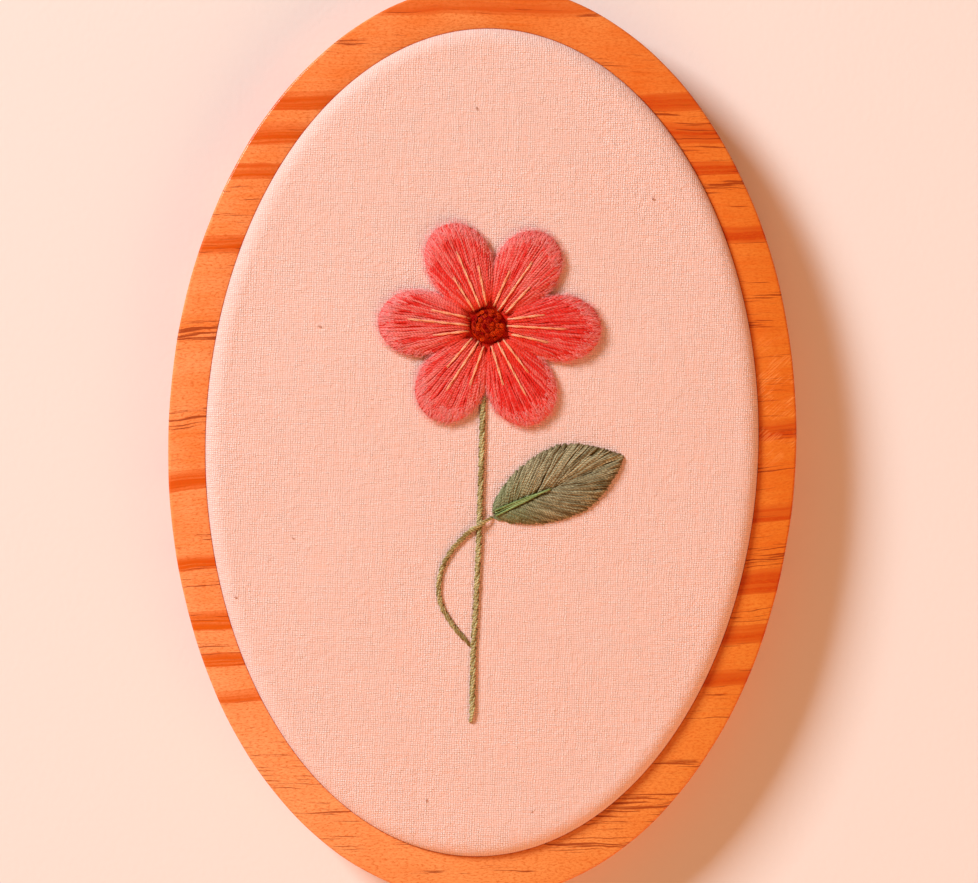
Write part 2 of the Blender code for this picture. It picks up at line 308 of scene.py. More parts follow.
def add_floor():
    """A sheet of pale card, 2 m wide, with a faint tooth."""
    material, tree = new_material("pale_card")
    place = add(tree, "ShaderNodeTexCoord", out="Object")
    grain = add(tree, MAPPING, {"Vector": place, "Scale": (0.0011, 0.0011, 0.0011)}, vector_type="TEXTURE")
    tooth = add(tree, NOISE, {"Vector": grain, "Scale": 1.0, "Detail": 3.0})
    bump = add(tree, "ShaderNodeBump", {"Height": tooth, "Distance": 0.04 * MM})
    shader = add(tree, "ShaderNodeBsdfPrincipled", {
        "Base Color": linear("#e8d2c4"), "Roughness": 0.9, "Normal": bump,
    })
    add(tree, "ShaderNodeOutputMaterial", {"Surface": shader}, out=None)
    mesh = bpy.data.meshes.new("floor")
    mesh.from_pydata([(-1, -1, 0), (1, -1, 0), (1, 1, 0), (-1, 1, 0)], [], [(0, 1, 2, 3)])
    mesh.materials.append(material)
    floor = bpy.data.objects.new("floor", mesh)
    bpy.context.scene.collection.objects.link(floor)


add_floor()
print("lights:", len(bpy.data.lights), "and an even world")

# %% [markdown]
# ## Oiled pine
# The ring is pine, sawn, sanded and oiled. Pine gives the eye three things. The first is
# its growth bands: each year's wood darkens slowly and then stops at a sharp line, because
# summer wood is dense and spring wood isn't. The second is short thin dark dashes, which
# are resin ducts cut along their length. The third is a fine streaky fibre, and where the
# sanding block went askew, faint slanted scratches.
#
# All of it runs along X. The bands are a ramp over Y, tilted where the log's grain rises to
# the right. The ramp only says how dark the wood is, and by that share a deep orange
# multiplies the wood's own colour.

# %% Oiled pine
RAMP_REACH = 90.0
# Middle of each dark band above the ring's centre and its width, in mm, and its darkness
GROWTH_BANDS = (
    (-47.5, 1.4, 0.3),
    (-39.8, 1.6, 0.85),
    (-31.2, 2.2, 1.0),
    (-19.2, 1.7, 0.95),
    (-2.6, 2.5, 0.95),
    (39.0, 1.8, 0.9),
    (52.0, 1.2, 0.75),
    (58.8, 2.1, 0.9),
    (64.8, 2.3, 0.7),
    (83.4, 2.3, 0.12),
)
BAND_FADE = 0.8
BAND_STOP = 0.15
# the power that keeps most of a band dark and lets only its top fade
BAND_POWER = 0.25
# how fast the grain rises to the right far from the middle and in it, and through the plank
GRAIN_SLOPE = 0.02
GRAIN_SWELL = 0.1
GRAIN_THROUGH = 0.33
GRAIN_WAVE = 2.4
# a duct shows where its noise and this share of the crowding noise add up past a limit
DUCT_CROWDING = 0.75
DUCT_LIMIT = 1.06
DUCT_CONTRAST = 15.0
# the place on the ring where the sanding block slipped, and how far its scratches reach in
# full and at all, in mm
SANDING_SLIP = (57.0, 9.0)
SLIP_REACH = (10.0, 19.0)
# each noise: whether it follows the grain, its size along X, Y and Z in mm, its detail and
# roughness, and how far it is turned in degrees
PINE_NOISES = {
    "fibre": (True, (7.0, 0.3, 1.0), 3.0, 0.7, 0),
    "streak": (True, (40.0, 0.8, 6.0), 3.0, 0.6, 0),
    "layer": (True, (60.0, 0.55, 8.0), 1.0, 0.5, 0),
    "fleck": (True, (0.8, 0.3, 0.8), 2.0, 0.7, 0),
    "duct": (True, (10.0, 0.26, 5.0), 1.0, 0.5, 0),
    "crowd": (True, (70.0, 3.6, 40.0), 1.0, 0.5, 0),
    "oil": (False, (12.0, 8.0, 12.0), 3.0, 0.5, 0),
    "scratch": (False, (2.6, 0.22, 2.6), 0.0, 0.5, 42),
    "patch": (False, (4.0, 3.0, 4.0), 0.0, 0.5, 0),
}
# what is made of a noise: its name, the two levels it runs between, and the shares there
PINE_SHARES = {
    "layers": ("layer", 0.35, 0.6, 0.75, 1.3),
    "scratches": ("scratch", 0.46, 0.66, 0.0, 1.0),
    "patches": ("patch", 0.4, 0.55, 0.0, 1.0),
    "flecks": ("fleck", 0.46, 0.72, 0.0, 0.8),
    "streaks": ("streak", 0.35, 0.65, 0.0, 0.5),
    "oiled": ("oil", 0.35, 0.7, 0.0, 0.45),
    "gloss": ("oil", 0.0, 1.0, 0.45, 0.65),
}


def band_stops():
    """Ramp stops from low Y to high Y: each band starts sharply, then fades out upwards."""
    stops = []
    for middle, width, dark in GROWTH_BANDS:
        for place, value in (
            (middle - width / 2 - BAND_STOP, 0.0),
            (middle - width / 2, dark),
            (middle + width / 2 + BAND_FADE, 0.0),
        ):
            stops.append(((place + RAMP_REACH) / (2 * RAMP_REACH), value))
    return stops


def grain_level(tree, place, axis):
    """The place along the trunk's radius, in metres, that a point of the plank came from.

    It is y - x (0.02 + 0.1 exp(-((y + 8) / 40)^2)) + z / 3, with y in mm, plus a small wave.
    """
    away = add(tree, MATH, (axis["Y"], 25.0, 0.2), operation="MULTIPLY_ADD")
    squared = add(tree, MATH, (away, 2.0), operation="POWER")
    bell = add(tree, MATH, (add(tree, MATH, (squared, -1.0), operation="MULTIPLY"),), operation="EXPONENT")
    slope = add(tree, MATH, (bell, GRAIN_SWELL, GRAIN_SLOPE), operation="MULTIPLY_ADD")
    rise = add(tree, MATH, (axis["X"], slope), operation="MULTIPLY")
    level = add(tree, MATH, (axis["Y"], rise), operation="SUBTRACT")
    level = add(tree, MATH, (axis["Z"], GRAIN_THROUGH, level), operation="MULTIPLY_ADD")
    stretched = add(tree, MAPPING, {"Vector": place, "Scale": (0.017, 0.006, 0.025)}, vector_type="TEXTURE")
    wave = add(tree, NOISE, {"Vector": stretched, "Scale": 1.0, "Detail": 4.0, "Roughness": 0.45})
    level = add(tree, MATH, (wave, GRAIN_WAVE * MM, level), operation="MULTIPLY_ADD")
    # measured from the ring's face and the middle of the wave
    at_the_face = (GRAIN_THROUGH * FRAME_THICKNESS + GRAIN_WAVE / 2) * MM
    return add(tree, MATH, (level, at_the_face), operation="SUBTRACT")


def oiled_pine():
    """Pine with growth bands, ducts, fibre, uneven oil and sanding scratches, with painted shade on its right
    half and painted light at its foot.
    """
    material, tree = new_material("oiled_pine")
    place = add(tree, "ShaderNodeTexCoord", out="Object")
    axis = add(tree, "ShaderNodeSeparateXYZ", (place,), out=None)
    level = grain_level(tree, place, axis)
    grain = add(tree, "ShaderNodeCombineXYZ", (axis["X"], level, axis["Z"]))
    made = {}
    for name, (follows, size, detail, roughness, turned) in PINE_NOISES.items():
        stretched = add(tree, MAPPING, {
            "Vector": grain if follows else place, "Scale": tuple(part * MM for part in size),
            "Rotation": (0.0, 0.0, math.radians(turned)),
        }, vector_type="TEXTURE")
        made[name] = add(tree, NOISE, {
            "Vector": stretched, "Scale": 1.0, "Detail": detail, "Roughness": roughness,
        })

    for name, (noise, *levels) in PINE_SHARES.items():
        made[name] = add(tree, RANGE, dict(zip(RANGE_INPUTS, (made[noise], *levels))))

    height = add(tree, RANGE, {"Value": level, "From Min": -RAMP_REACH * MM, "From Max": RAMP_REACH * MM})
    ramp = add(tree, "ShaderNodeValToRGB", (height,), stops=band_stops())
    bands = add(tree, MATH, (ramp, BAND_POWER), operation="POWER")
    bands = add(tree, MATH, (bands, made["layers"]), operation="MULTIPLY", use_clamp=True)
    # resin ducts: thin dark lines that crowd together in some years and are rare in others
    crowded = add(tree, MATH, (made["crowd"], DUCT_CROWDING, made["duct"]), operation="MULTIPLY_ADD")
    lines = add(tree, MATH, (crowded, DUCT_CONTRAST, -DUCT_CONTRAST * DUCT_LIMIT),
                operation="MULTIPLY_ADD", use_clamp=True)
    # sanding scratches, slanted and short, only where the block slipped on the right side
    slipped = tuple(part * MM for part in SANDING_SLIP)
    from_slip = add(tree, VECTOR, (place, (*slipped, 0)), operation="SUBTRACT")
    slip = add(tree, RANGE, {
        "Value": add(tree, VECTOR, (from_slip,), out="Value", operation="LENGTH"),
        "From Min": SLIP_REACH[0] * MM, "From Max": SLIP_REACH[1] * MM, "To Min": 1.0, "To Max": 0.0,
    })
    scratched = add(tree, MATH, (made["scratches"], made["patches"]), operation="MULTIPLY")
    scratched = add(tree, MATH, (scratched, slip), operation="MULTIPLY")

    # painted shade and light: the plank's right half, away from the light, is painted a deeper orange, and
    # its foot, lit from below, is painted paler
    painted_shade_right = add(tree, MATH, (axis["X"], 8.5, 0.5), operation="MULTIPLY_ADD", use_clamp=True)
    painted_light_foot = add(tree, RANGE, {
        "Value": axis["Y"], "From Min": -10 * MM, "From Max": -75 * MM, "To Min": 0.0, "To Max": 0.34,
    }, interpolation_type="SMOOTHSTEP")
    faint = add(tree, MATH, (scratched, 0.5), operation="MULTIPLY")
    drawn = add(tree, MATH, (lines, 0.8), operation="MULTIPLY")
    wood = linear("#e66a24")
    for share, shade, blend in (
        (made["fibre"], "#ff9c5a", "MIX"), (made["streaks"], "#f0701c", "MIX"),
        (made["oiled"], "#ffa86c", "MIX"), (painted_light_foot, "#ffb67c", "MIX"),
        (painted_shade_right, "#e4c868", "MULTIPLY"), (bands, "#e09800", "MULTIPLY"),
        (made["flecks"], "#cc5408", "MIX"), (drawn, "#8e2800", "MIX"), (faint, "#ff9c50", "MIX"),
    ):
        mixed = {0: share, COLOUR_A: wood, COLOUR_B: linear(shade)}
        wood = add(tree, MIX, mixed, blend_type=blend, **COLOURS)

    # ducts are cut open, and scratches and the hard bands stand a little proud
    relief = made["fibre"]
    for part, amount in ((lines, -0.3), (scratched, 0.6), (bands, 0.5)):
        relief = add(tree, MATH, (part, amount, relief), operation="MULTIPLY_ADD")
    bump = add(tree, "ShaderNodeBump", {"Height": relief, "Distance": 0.07 * MM, "Strength": 0.9})
    shader = add(tree, "ShaderNodeBsdfPrincipled", {
        "Base Color": wood, "Roughness": made["gloss"], "IOR": 1.48, "Specular IOR Level": 0.08,
        "Coat Weight": 0.3, "Coat Roughness": 0.16, "Normal": bump,
    })
    add(tree, "ShaderNodeOutputMaterial", {"Surface": shader}, out=None)
    return material


print("growth bands:", len(GROWTH_BANDS), "ramp stops:", len(band_stops()))

# %% [markdown]
# ## The ring
# A ring sawn from a plank has a flat face, a flat back and sides that a sander has rounded.
# Its section is carried round the oval: the section is a list of how far each point lies
# from the outer oval to the window, and the oval is an ellipse. The outer edge wanders by
# under a tenth of a millimetre, because a hand-held sander never leaves it quite true.

# %% The ring
OVAL_STEPS = 360
EDGE_STEPS = 6
# the sander's waves: height in mm, waves in the whole turn, and start in radians
SANDER_WAVES = ((0.05, 5, 0.7), (0.03, 13, 2.1), (0.015, 37, 0.0))


def ring_section():
    """Half axes and heights once round the section, as arrays x, y and z.

    A quarter circle of radius r gives inset r (1 - sin t) and height r (1 - cos t).
    """
    turn = np.linspace(0, math.pi / 2, EDGE_STEPS)
    outer = (FRAME_WIDTH / 2, FRAME_HEIGHT / 2)
    window = (PANEL_WIDTH / 2 + WINDOW_GAP, PANEL_HEIGHT / 2 + WINDOW_GAP)
    inset = FRAME_EDGE_RADIUS * (1 - np.sin(turn))
    drop = FRAME_EDGE_RADIUS * (1 - np.cos(turn))
    small_inset = WINDOW_EDGE_RADIUS * (1 - np.sin(turn))
    small_drop = WINDOW_EDGE_RADIUS * (1 - np.cos(turn))
    side = np.linspace(FRAME_EDGE_RADIUS, FRAME_THICKNESS - FRAME_EDGE_RADIUS, 5)[1:-1]
    inner_side = np.linspace(FRAME_THICKNESS - WINDOW_EDGE_RADIUS, 0, 6)[1:]
    heights = np.concatenate([
        drop, side, FRAME_THICKNESS - drop[::-1],
        FRAME_THICKNESS - small_drop, inner_side,
    ])
    half_axes = []
    for axis in (0, 1):
        half_axes.append(np.concatenate([
            outer[axis] - inset, np.full(len(side), outer[axis]), outer[axis] - inset[::-1],
            window[axis] + small_inset, np.full(len(inner_side), window[axis]),
        ]))
    return half_axes[0], half_axes[1], heights


def add_ring(material):
    """The section carried round: x = a cos t, y = b sin t, with a wander of the outer side."""
    half_x, half_y, heights = ring_section()
    turn = np.linspace(0, 2 * math.pi, OVAL_STEPS, endpoint=False)[:, None]
    wander = sum(high * np.sin(waves * turn + start) for high, waves, start in SANDER_WAVES)
    share = (half_x - half_x.min()) / np.ptp(half_x)
    x = (half_x + wander * share) * np.cos(turn)
    y = (half_y + wander * share) * np.sin(turn)
    z = np.broadcast_to(heights, x.shape)
    points = np.stack([x, y, z], axis=-1).reshape(-1, 3)
    ring = make_piece("pine_ring", points, [grid_quads(OVAL_STEPS, len(heights), rows_meet=True)], material)
    ring.data.set_sharp_from_angle(angle=math.radians(50))
    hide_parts("wood_frame")


add_ring(oiled_pine())

# %% [markdown]
# ## Woven cotton
# The cloth is a plain weave: each thread goes over one and under the next, so raised spots
# lie in a chequer. With u and v counting threads across and up, sin(pi u) sin(pi v) is
# positive where the upright thread is on top and negative where the level one is. The
# thread on top is round across its own width and long along it, and the small pits
# between threads, where both sines are near zero, are painted a darker peach: painted
# shade, the shade that falls into them.
#
# The threads are spun unevenly, so thicker stretches, called slubs, run along some of them.
# The weave must follow the cloth round the panel's shoulder, so it reads a UV map that
# holds the flat cloth's own millimetres.

# %% Woven cotton
WARP_PITCH = 0.46
WEFT_PITCH = 0.40
SLUB_LENGTH = 9.0
# how far threads stray sideways, in mm, and the height of weave and slubs together
THREAD_STRAY = 1.1
WEAVE_DEPTH = 0.105
# the relief of the thinnest threads and of the cloth's unevenness, as shares of a thick one's
THIN_THREAD = 0.35
UNEVEN_CLOTH = 2.6
# each noise: its size across and up the cloth in mm, its detail and its roughness
COTTON_NOISES = {
    "warp slub": ((WARP_PITCH, SLUB_LENGTH), 2.0, 0.55),
    "weft slub": ((SLUB_LENGTH, WEFT_PITCH), 2.0, 0.55),
    "uneven": ((1.4, 1.0), 3.0, 0.55),
    "mottle": ((4.0, 4.0), 3.0, 0.5),
}


def woven_cotton():
    """Plain weave in peach cotton, with slubs, pits painted a darker shade, and a dry surface."""
    material, tree = new_material("plain_weave_cotton")
    # the UV map holds the flat cloth's millimetres
    flat = add(tree, "ShaderNodeUVMap", uv_map="pattern")
    made = {}
    for name, (size, detail, roughness) in COTTON_NOISES.items():
        stretched = add(tree, MAPPING, {"Vector": flat, "Scale": (*size, 1.0)}, vector_type="TEXTURE")
        made[name] = add(tree, NOISE, {
            "Vector": stretched, "Scale": 1.0, "Detail": detail, "Roughness": roughness,
        })
    # the threads stray sideways by about half their pitch over some millimetres
    stray = add(tree, NOISE, {"Vector": flat, "Scale": 0.25, "Detail": 6.0, "Roughness": 0.62}, out="Color")
    centred = add(tree, VECTOR, (stray, (0.5, 0.5, 0.5)), operation="SUBTRACT")
    shift = add(tree, VECTOR, {0: centred, "Scale": THREAD_STRAY}, operation="SCALE")
    axis = add(tree, "ShaderNodeSeparateXYZ", (add(tree, VECTOR, (flat, shift), operation="ADD"),), out=None)

    waves = []
    for way, pitch in (("X", WARP_PITCH), ("Y", WEFT_PITCH)):
        counted = add(tree, MATH, (axis[way], math.pi / pitch), operation="MULTIPLY")
        waves.append(add(tree, MATH, (counted,), operation="SINE"))
    both = add(tree, MATH, tuple(waves), operation="MULTIPLY")
    warp_on_top = add(tree, MATH, (both, 0.0), operation="GREATER_THAN")
    # a thread is round across its width, and along it flatter, by a power under a half
    round_x, round_y = (add(tree, MATH, (wave,), operation="ABSOLUTE") for wave in waves)
    long_x, long_y = (add(tree, MATH, (wave, 0.4), operation="POWER") for wave in (round_x, round_y))
    warp = add(tree, MATH, (round_x, long_y), operation="MULTIPLY")
    weft = add(tree, MATH, (long_x, round_y), operation="MULTIPLY")
    weave = add(tree, MIX, {0: warp_on_top, NUMBER_A: weft, NUMBER_B: warp})
    slubs = add(tree, MIX, {0: warp_on_top, NUMBER_A: made["weft slub"], NUMBER_B: made["warp slub"]})
    slubs = add(tree, RANGE, {"Value": slubs, "From Min": 0.3, "From Max": 0.7})
    some_mottle = add(tree, MATH, (made["mottle"], 0.2), operation="MULTIPLY")
    softened = add(tree, MATH, (weave, 0.5), operation="POWER")

    thread = add(tree, MIX, {
        0: slubs, COLOUR_A: linear("#f2baa4"), COLOUR_B: linear("#fcdacb"),
    }, **COLOURS)
    # painted shade: where the weave is low, in the pits between threads, the colour goes to a darker peach
    cloth = add(tree, MIX, {0: softened, COLOUR_A: linear("#d89880"), COLOUR_B: thread}, **COLOURS)
    cloth = add(tree, MIX, {0: some_mottle, COLOUR_A: cloth, COLOUR_B: linear("#fac4b0")}, **COLOURS)

    thick = add(tree, MATH, (slubs, THIN_THREAD), operation="ADD")
    relief = add(tree, MATH, (weave, thick), operation="MULTIPLY")
    relief = add(tree, MATH, (made["uneven"], UNEVEN_CLOTH, relief), operation="MULTIPLY_ADD")
    bump = add(tree, "ShaderNodeBump", {"Height": relief, "Distance": WEAVE_DEPTH * MM, "Strength": 1.0})
    shader = add(tree, "ShaderNodeBsdfPrincipled", {
        "Base Color": cloth, "Roughness": 0.92, "IOR": 1.45, "Specular IOR Level": 0.2,
        "Sheen Weight": 0.25, "Sheen Roughness": 0.4, "Normal": bump,
    })
    add(tree, "ShaderNodeOutputMaterial", {"Surface": shader}, out=None)
    return material


print(f"{PANEL_WIDTH / WARP_PITCH:.0f} upright and {PANEL_HEIGHT / WEFT_PITCH:.0f} level threads")

# %% [markdown]
# ## The covered panel
# Cloth pulled over a padded board makes a low crown, turns over a soft shoulder and goes
# down into the gap. The panel is one closed surface: rings of points from a pole in the
# middle of the face, over the shoulder, down the side and in to a pole on the back. Its UV
# map keeps the length of cloth along each ring's way out, so the weave isn't stretched.
# The soft edge swells by 0.26 mm into the gap round it, which leaves only a thin dark line.

# %% The covered panel
PANEL_TURNS = 240
FACE_RINGS = 30
SHOULDER_RINGS = 11
WADDING_SWELL = 0.035


def panel_rings():
    """For each ring, its half axes, its height, and the cloth used past the face's edge.

    The shoulder is a quarter of an ellipse: out by W sin t and down by D (1 - cos t).
    """
    share = np.linspace(0, 1, FACE_RINGS + 1)[1:]
    turn = np.linspace(0, math.pi / 2, SHOULDER_RINGS)[1:]
    back_turn = np.linspace(0, math.pi / 2, 5)
    side = np.linspace(FACE_EDGE - SHOULDER_RADIUS, PANEL_BACK + BACK_EDGE_RADIUS, 5)[1:-1]
    back = np.linspace(1, 0, 7)[1:-1]
    rings = []
    for half in (FACE_HALF_X, FACE_HALF_Y):
        outer = half + SHOULDER_RADIUS + CLOTH_SWELL
        face = half + SHOULDER_RADIUS - SHOULDER_WIDTH
        rings.append(np.concatenate([
            face * share, face + (outer - face) * np.sin(turn), np.full(len(side), outer),
            outer - BACK_EDGE_RADIUS * (1 - np.cos(back_turn)), (outer - BACK_EDGE_RADIUS) * back,
        ]))
    crown = FACE_EDGE + PANEL_CROWN * (1 - (share * rings[0][FACE_RINGS - 1] / FACE_HALF_X) ** 2)
    shoulder_drop = crown[-1] - FACE_EDGE + SHOULDER_RADIUS
    heights = np.concatenate([
        crown, crown[-1] - shoulder_drop * (1 - np.cos(turn)), side,
        PANEL_BACK + BACK_EDGE_RADIUS * (1 - np.sin(back_turn)), np.full(len(back), PANEL_BACK),
    ])
    steps = np.hypot(np.diff(rings[0]), np.diff(heights))
    used = np.concatenate([[0], np.cumsum(steps)])
    used = np.clip(used - used[FACE_RINGS - 1], 0, None)
    return rings[0], rings[1], heights, used


def wadding(x, y):
    """Low uneven swells of the wadding under the cloth: a sum of slow sines, in mm."""
    slow = np.sin(x / 5.3 + 0.9 * np.sin(y / 8.1)) + np.sin(y / 6.7 + 1.3 * np.sin(x / 9.4))
    return WADDING_SWELL * slow


def add_panel(material):
    """Rings x = a cos t, y = b sin t, closed by a pole on the face and one on the back."""
    half_x, half_y, heights, used = panel_rings()
    turn = np.linspace(0, 2 * math.pi, PANEL_TURNS, endpoint=False)
    x = half_x[:, None] * np.cos(turn)
    y = half_y[:, None] * np.sin(turn)
    z = heights[:, None] + np.where(used[:, None] > 0, 0, 1) * wadding(x, y)
    rings = np.stack([x, y, z], axis=-1).reshape(-1, 3)
    top = face_height(0, 0) + wadding(0, 0)
    points = np.vstack([rings, [(0, 0, top), (0, 0, PANEL_BACK)]])
    # the flat cloth: the ring's own place on the face, and further out by the cloth used
    face_x = np.where(used > 0, half_x[FACE_RINGS - 1], half_x)
    face_y = np.where(used > 0, half_y[FACE_RINGS - 1], half_y)
    open_turn = np.append(turn, 2 * math.pi)
    flat = np.stack([
        (face_x + used)[:, None] * np.cos(open_turn),
        (face_y + used)[:, None] * np.sin(open_turn),
    ], axis=-1)
    quads, caps = closed_rings(len(heights), PANEL_TURNS)
    quad_uv = np.stack([flat[:-1, :-1], flat[:-1, 1:], flat[1:, 1:], flat[1:, :-1]], axis=2).reshape(-1, 4, 2)
    middle = np.zeros((PANEL_TURNS, 2))
    cap_uv = np.vstack([
        np.stack([middle, flat[0, 1:], flat[0, :-1]], axis=1),
        np.stack([flat[-1, :-1], flat[-1, 1:], middle + (2 * FACE_HALF_X, 0)], axis=1),
    ])
    panel = make_piece("cotton_panel", points, [quads, caps], material, uv=[quad_uv, cap_uv])
    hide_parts("cloth_panel")


add_panel(woven_cotton())

# %% [markdown]
# ## Stranded cotton
# Embroidery thread is a few fine strands of mercerised cotton, which has a silky shine.
# Each strand is two plies twisted together, and each ply is a bundle of fibres. At this
# size the plies show as fine slanted lines and the fibres as a soft streak. The grooves
# between the plies are painted a darker shade, the shade that falls in them. Plies and
# fibres both follow the thread, so they read its UV map: u goes once round it and v is
# the length in mm.
#
# No two stitches catch the light alike, so each thread carries a number called tone, and
# the colour moves between a deep and a bright shade by it. It also moves along the thread,
# in dashes of a millimetre or two, because the twist tightens and loosens.

# %% Stranded cotton
PLIES = 2
PLY_PITCH = 0.6
DASH_DEPTH = 1.7
# fibre streaks round a thread and along each mm of it, and the step from thread to thread
FIBRE_STREAKS = (9.0, 0.8, 37.0)
# how much of the groove's shade the fibres bring, and their relief beside the plies'
FIBRE_SHADE = 0.5
FIBRE_RELIEF = 0.35
# the power that rounds a ply, and the share of the thread's own shade that the groove keeps under its painted
# shade
PLY_POWER = 0.7
GROOVE_LIGHT = 0.3


def stranded_cotton(name, deep, bright, groove_shade, ply_depth=0.05, sheen=0.25, gloss=0.25, near=None):
    """Mercerised cotton thread in the shades given.

    The plies are |sin(pi (2 u + v / pitch + start))|, with another start in each thread,
    and ply_depth is their depth in mm. near, if given, is another shade with the x and y of
    a place, how far from it, in mm, that shade begins to fade and is gone, and its share at
    most.
    """
    material, tree = new_material(name)
    axis = add(tree, "ShaderNodeSeparateXYZ", (add(tree, "ShaderNodeUVMap", uv_map="pattern"),), out=None)
    tone = add(tree, "ShaderNodeAttribute", out="Fac", attribute_name="tone")
    round_it, along_it, started = (
        add(tree, MATH, (part, scale), operation="MULTIPLY")
        for part, scale in zip((axis["X"], axis["Y"], tone), FIBRE_STREAKS)
    )
    twist = add(tree, MATH, (axis["Y"], 1 / PLY_PITCH, started), operation="MULTIPLY_ADD")
    turns = add(tree, MATH, (axis["X"], float(PLIES), twist), operation="MULTIPLY_ADD")
    wave = add(tree, MATH, (add(tree, MATH, (turns, math.pi), operation="MULTIPLY"),), operation="SINE")
    plies = add(tree, MATH, (wave,), operation="ABSOLUTE")
    # fibres: nine streaks round the thread, over a millimetre long, different in each thread
    lengthways = add(tree, "ShaderNodeCombineXYZ", (round_it, along_it, started))
    fibres = add(tree, NOISE, {"Vector": lengthways, "Scale": 1.0, "Detail": 3.0})
    dashways = add(tree, "ShaderNodeCombineXYZ", (started, along_it, 0.0))
    dashes = add(tree, NOISE, {"Vector": dashways, "Scale": 1.0, "Detail": 2.0})
    dashed = add(tree, MATH, (dashes, DASH_DEPTH, -DASH_DEPTH / 2), operation="MULTIPLY_ADD")
    lit = add(tree, MATH, (tone, dashed), operation="ADD", use_clamp=True)
    shade = add(tree, MIX, {0: lit, COLOUR_A: linear(deep), COLOUR_B: linear(bright)}, **COLOURS)
    if near:
        colour, x, y, begins, gone, most = near
        body = add(tree, "ShaderNodeTexCoord", out="Object")
        offset = add(tree, VECTOR, (body, (x * MM, y * MM, 0)), operation="SUBTRACT")
        level = add(tree, VECTOR, (offset, (1, 1, 0)), operation="MULTIPLY")
        share = add(tree, RANGE, {
            "Value": add(tree, VECTOR, (level,), out="Value", operation="LENGTH"),
            "From Min": begins * MM, "From Max": gone * MM, "To Min": most, "To Max": 0.0,
        }, interpolation_type="SMOOTHSTEP")
        shade = add(tree, MIX, {0: share, COLOUR_A: shade, COLOUR_B: linear(colour)}, **COLOURS)
    some_fibres = add(tree, MATH, (fibres, FIBRE_SHADE), operation="MULTIPLY")
    shade = add(tree, MIX, {0: some_fibres, COLOUR_A: shade, COLOUR_B: linear(groove_shade)}, **COLOURS)
    wound = add(tree, MATH, (plies, PLY_POWER), operation="POWER")
    # painted shade: the grooves between the plies take the darker groove colour
    outside = add(tree, MATH, (wound, 1 - GROOVE_LIGHT, GROOVE_LIGHT), operation="MULTIPLY_ADD")
    shade = add(tree, MIX, {0: outside, COLOUR_A: linear(groove_shade), COLOUR_B: shade}, **COLOURS)

    relief = add(tree, MATH, (fibres, FIBRE_RELIEF, wound), operation="MULTIPLY_ADD")
    bump = add(tree, "ShaderNodeBump", {"Height": relief, "Distance": ply_depth * MM, "Strength": 1.0})
    shader = add(tree, "ShaderNodeBsdfPrincipled", {
        "Base Color": shade, "Roughness": 0.55, "IOR": 1.5, "Specular IOR Level": gloss,
        "Sheen Weight": sheen, "Sheen Roughness": 0.45, "Sheen Tint": linear(bright), "Normal": bump,
    })
    add(tree, "ShaderNodeOutputMaterial", {"Surface": shader}, out=None)
    return material


# the deeper coral round the centre, and the fresher green at the leaf's base
FLOWER_SHADE = ("#f6401c", *FLOWER, 3.5, 12.0, 0.7)
LEAF_SHADE = ("#848f58", 3.5, -13.0, 2.0, 11.0, 0.6)
# the deep shade, the bright shade and the painted shade in the grooves of each thread
THREADS = {
    name: stranded_cotton(name, *shades, **finish)
    for name, shades, finish in (
        ("coral_cotton", ("#f22c1e", "#ff8a7a", "#b40e04"),
         {"ply_depth": 0.08, "sheen": 0.1, "gloss": 0.15, "near": FLOWER_SHADE}),
        # painted highlight: the rim row's paler rose is partly its own thread and partly the sheen the rim
        # catches
        ("rose_rim_sheen_cotton", ("#fc564a", "#ffa094", "#da382c"), {"ply_depth": 0.04, "sheen": 0.5}),
        # painted sheen: the fuzz is paler still, for the halo of light that its fibres catch
        ("fluffy_rose_sheen_cotton", ("#ff8476", "#ffc6be", "#f0685a"), {"ply_depth": 0.01, "sheen": 0.6}),
        # painted shade: this deeper red shows only as dark lines between the stitches, where shade falls
        ("coral_padding_shade_cotton", ("#e0240e", "#ec3018", "#c01408"), {"sheen": 0.0, "gloss": 0.1}),
        ("peach_cotton", ("#ff9a68", "#ffc49c", "#dc6c38"), {"ply_depth": 0.06}),
        ("dark_red_cotton", ("#a60000", "#ff4a08", "#500000"), {"sheen": 0.0, "gloss": 0.05}),
        ("olive_cotton", ("#a08044", "#e8cc8c", "#54400f"), {"ply_depth": 0.11}),
        ("grey_green_cotton", ("#77623c", "#dac494", "#46320e"), {"ply_depth": 0.1, "near": LEAF_SHADE}),
        # painted shade: this darker colour shows only in the gaps between the leaf's threads
        ("leaf_padding_shade_cotton", ("#6c5428", "#786032", "#443010"), {"sheen": 0.0, "gloss": 0.1}),
        ("bright_green_cotton", ("#748440", "#b0bc74", "#404814"), {"ply_depth": 0.06}),
        ("nep_cotton", ("#d8a088", "#f0c0aa", "#bc846c"), {"ply_depth": 0.01}),
    )
}
print("threads:", ", ".join(THREADS))

# %% [markdown]
# ## Threads from paths
# Every stitch is a tube along a path. All the paths of a piece go into one array, threads
# by steps by three, and numpy makes all the tubes at once. Around each step stands a ring
# of points: the path plus r (cos a across + sin a up), where across is level and square to
# the path, and up is square to both. Each end closes in a point.
#
# Near its ends a stitch dives into the cloth and looks thinner. Both are written with one
# formula of four numbers: how much and over what share of its length, at its start and at
# its end.

# %% Thread mesh
THREAD_SIDES = 6
STITCH_STEPS = 10
# no stitch's middle line comes nearer to the cloth than this, in mm
LOWEST_LIFT = 0.05
EVEN = np.linspace(0, 1, STITCH_STEPS)
# ease in and out of a stitch: steps crowd at both ends, where a thread bends most
ALONG = (EVEN + (1 - np.cos(math.pi * EVEN)) / 2) / 2


def near_ends(first, first_reach, last, last_reach, way=ALONG):
    """An amount that fades from both ends: a exp(-t / p) + b exp(-(1 - t) / q)."""
    return first * np.exp(-way / first_reach) + last * np.exp(-(1 - way) / last_reach)


def unit(vectors):
    """Vectors divided by their own length."""
    return vectors / np.linalg.norm(vectors, axis=-1, keepdims=True)


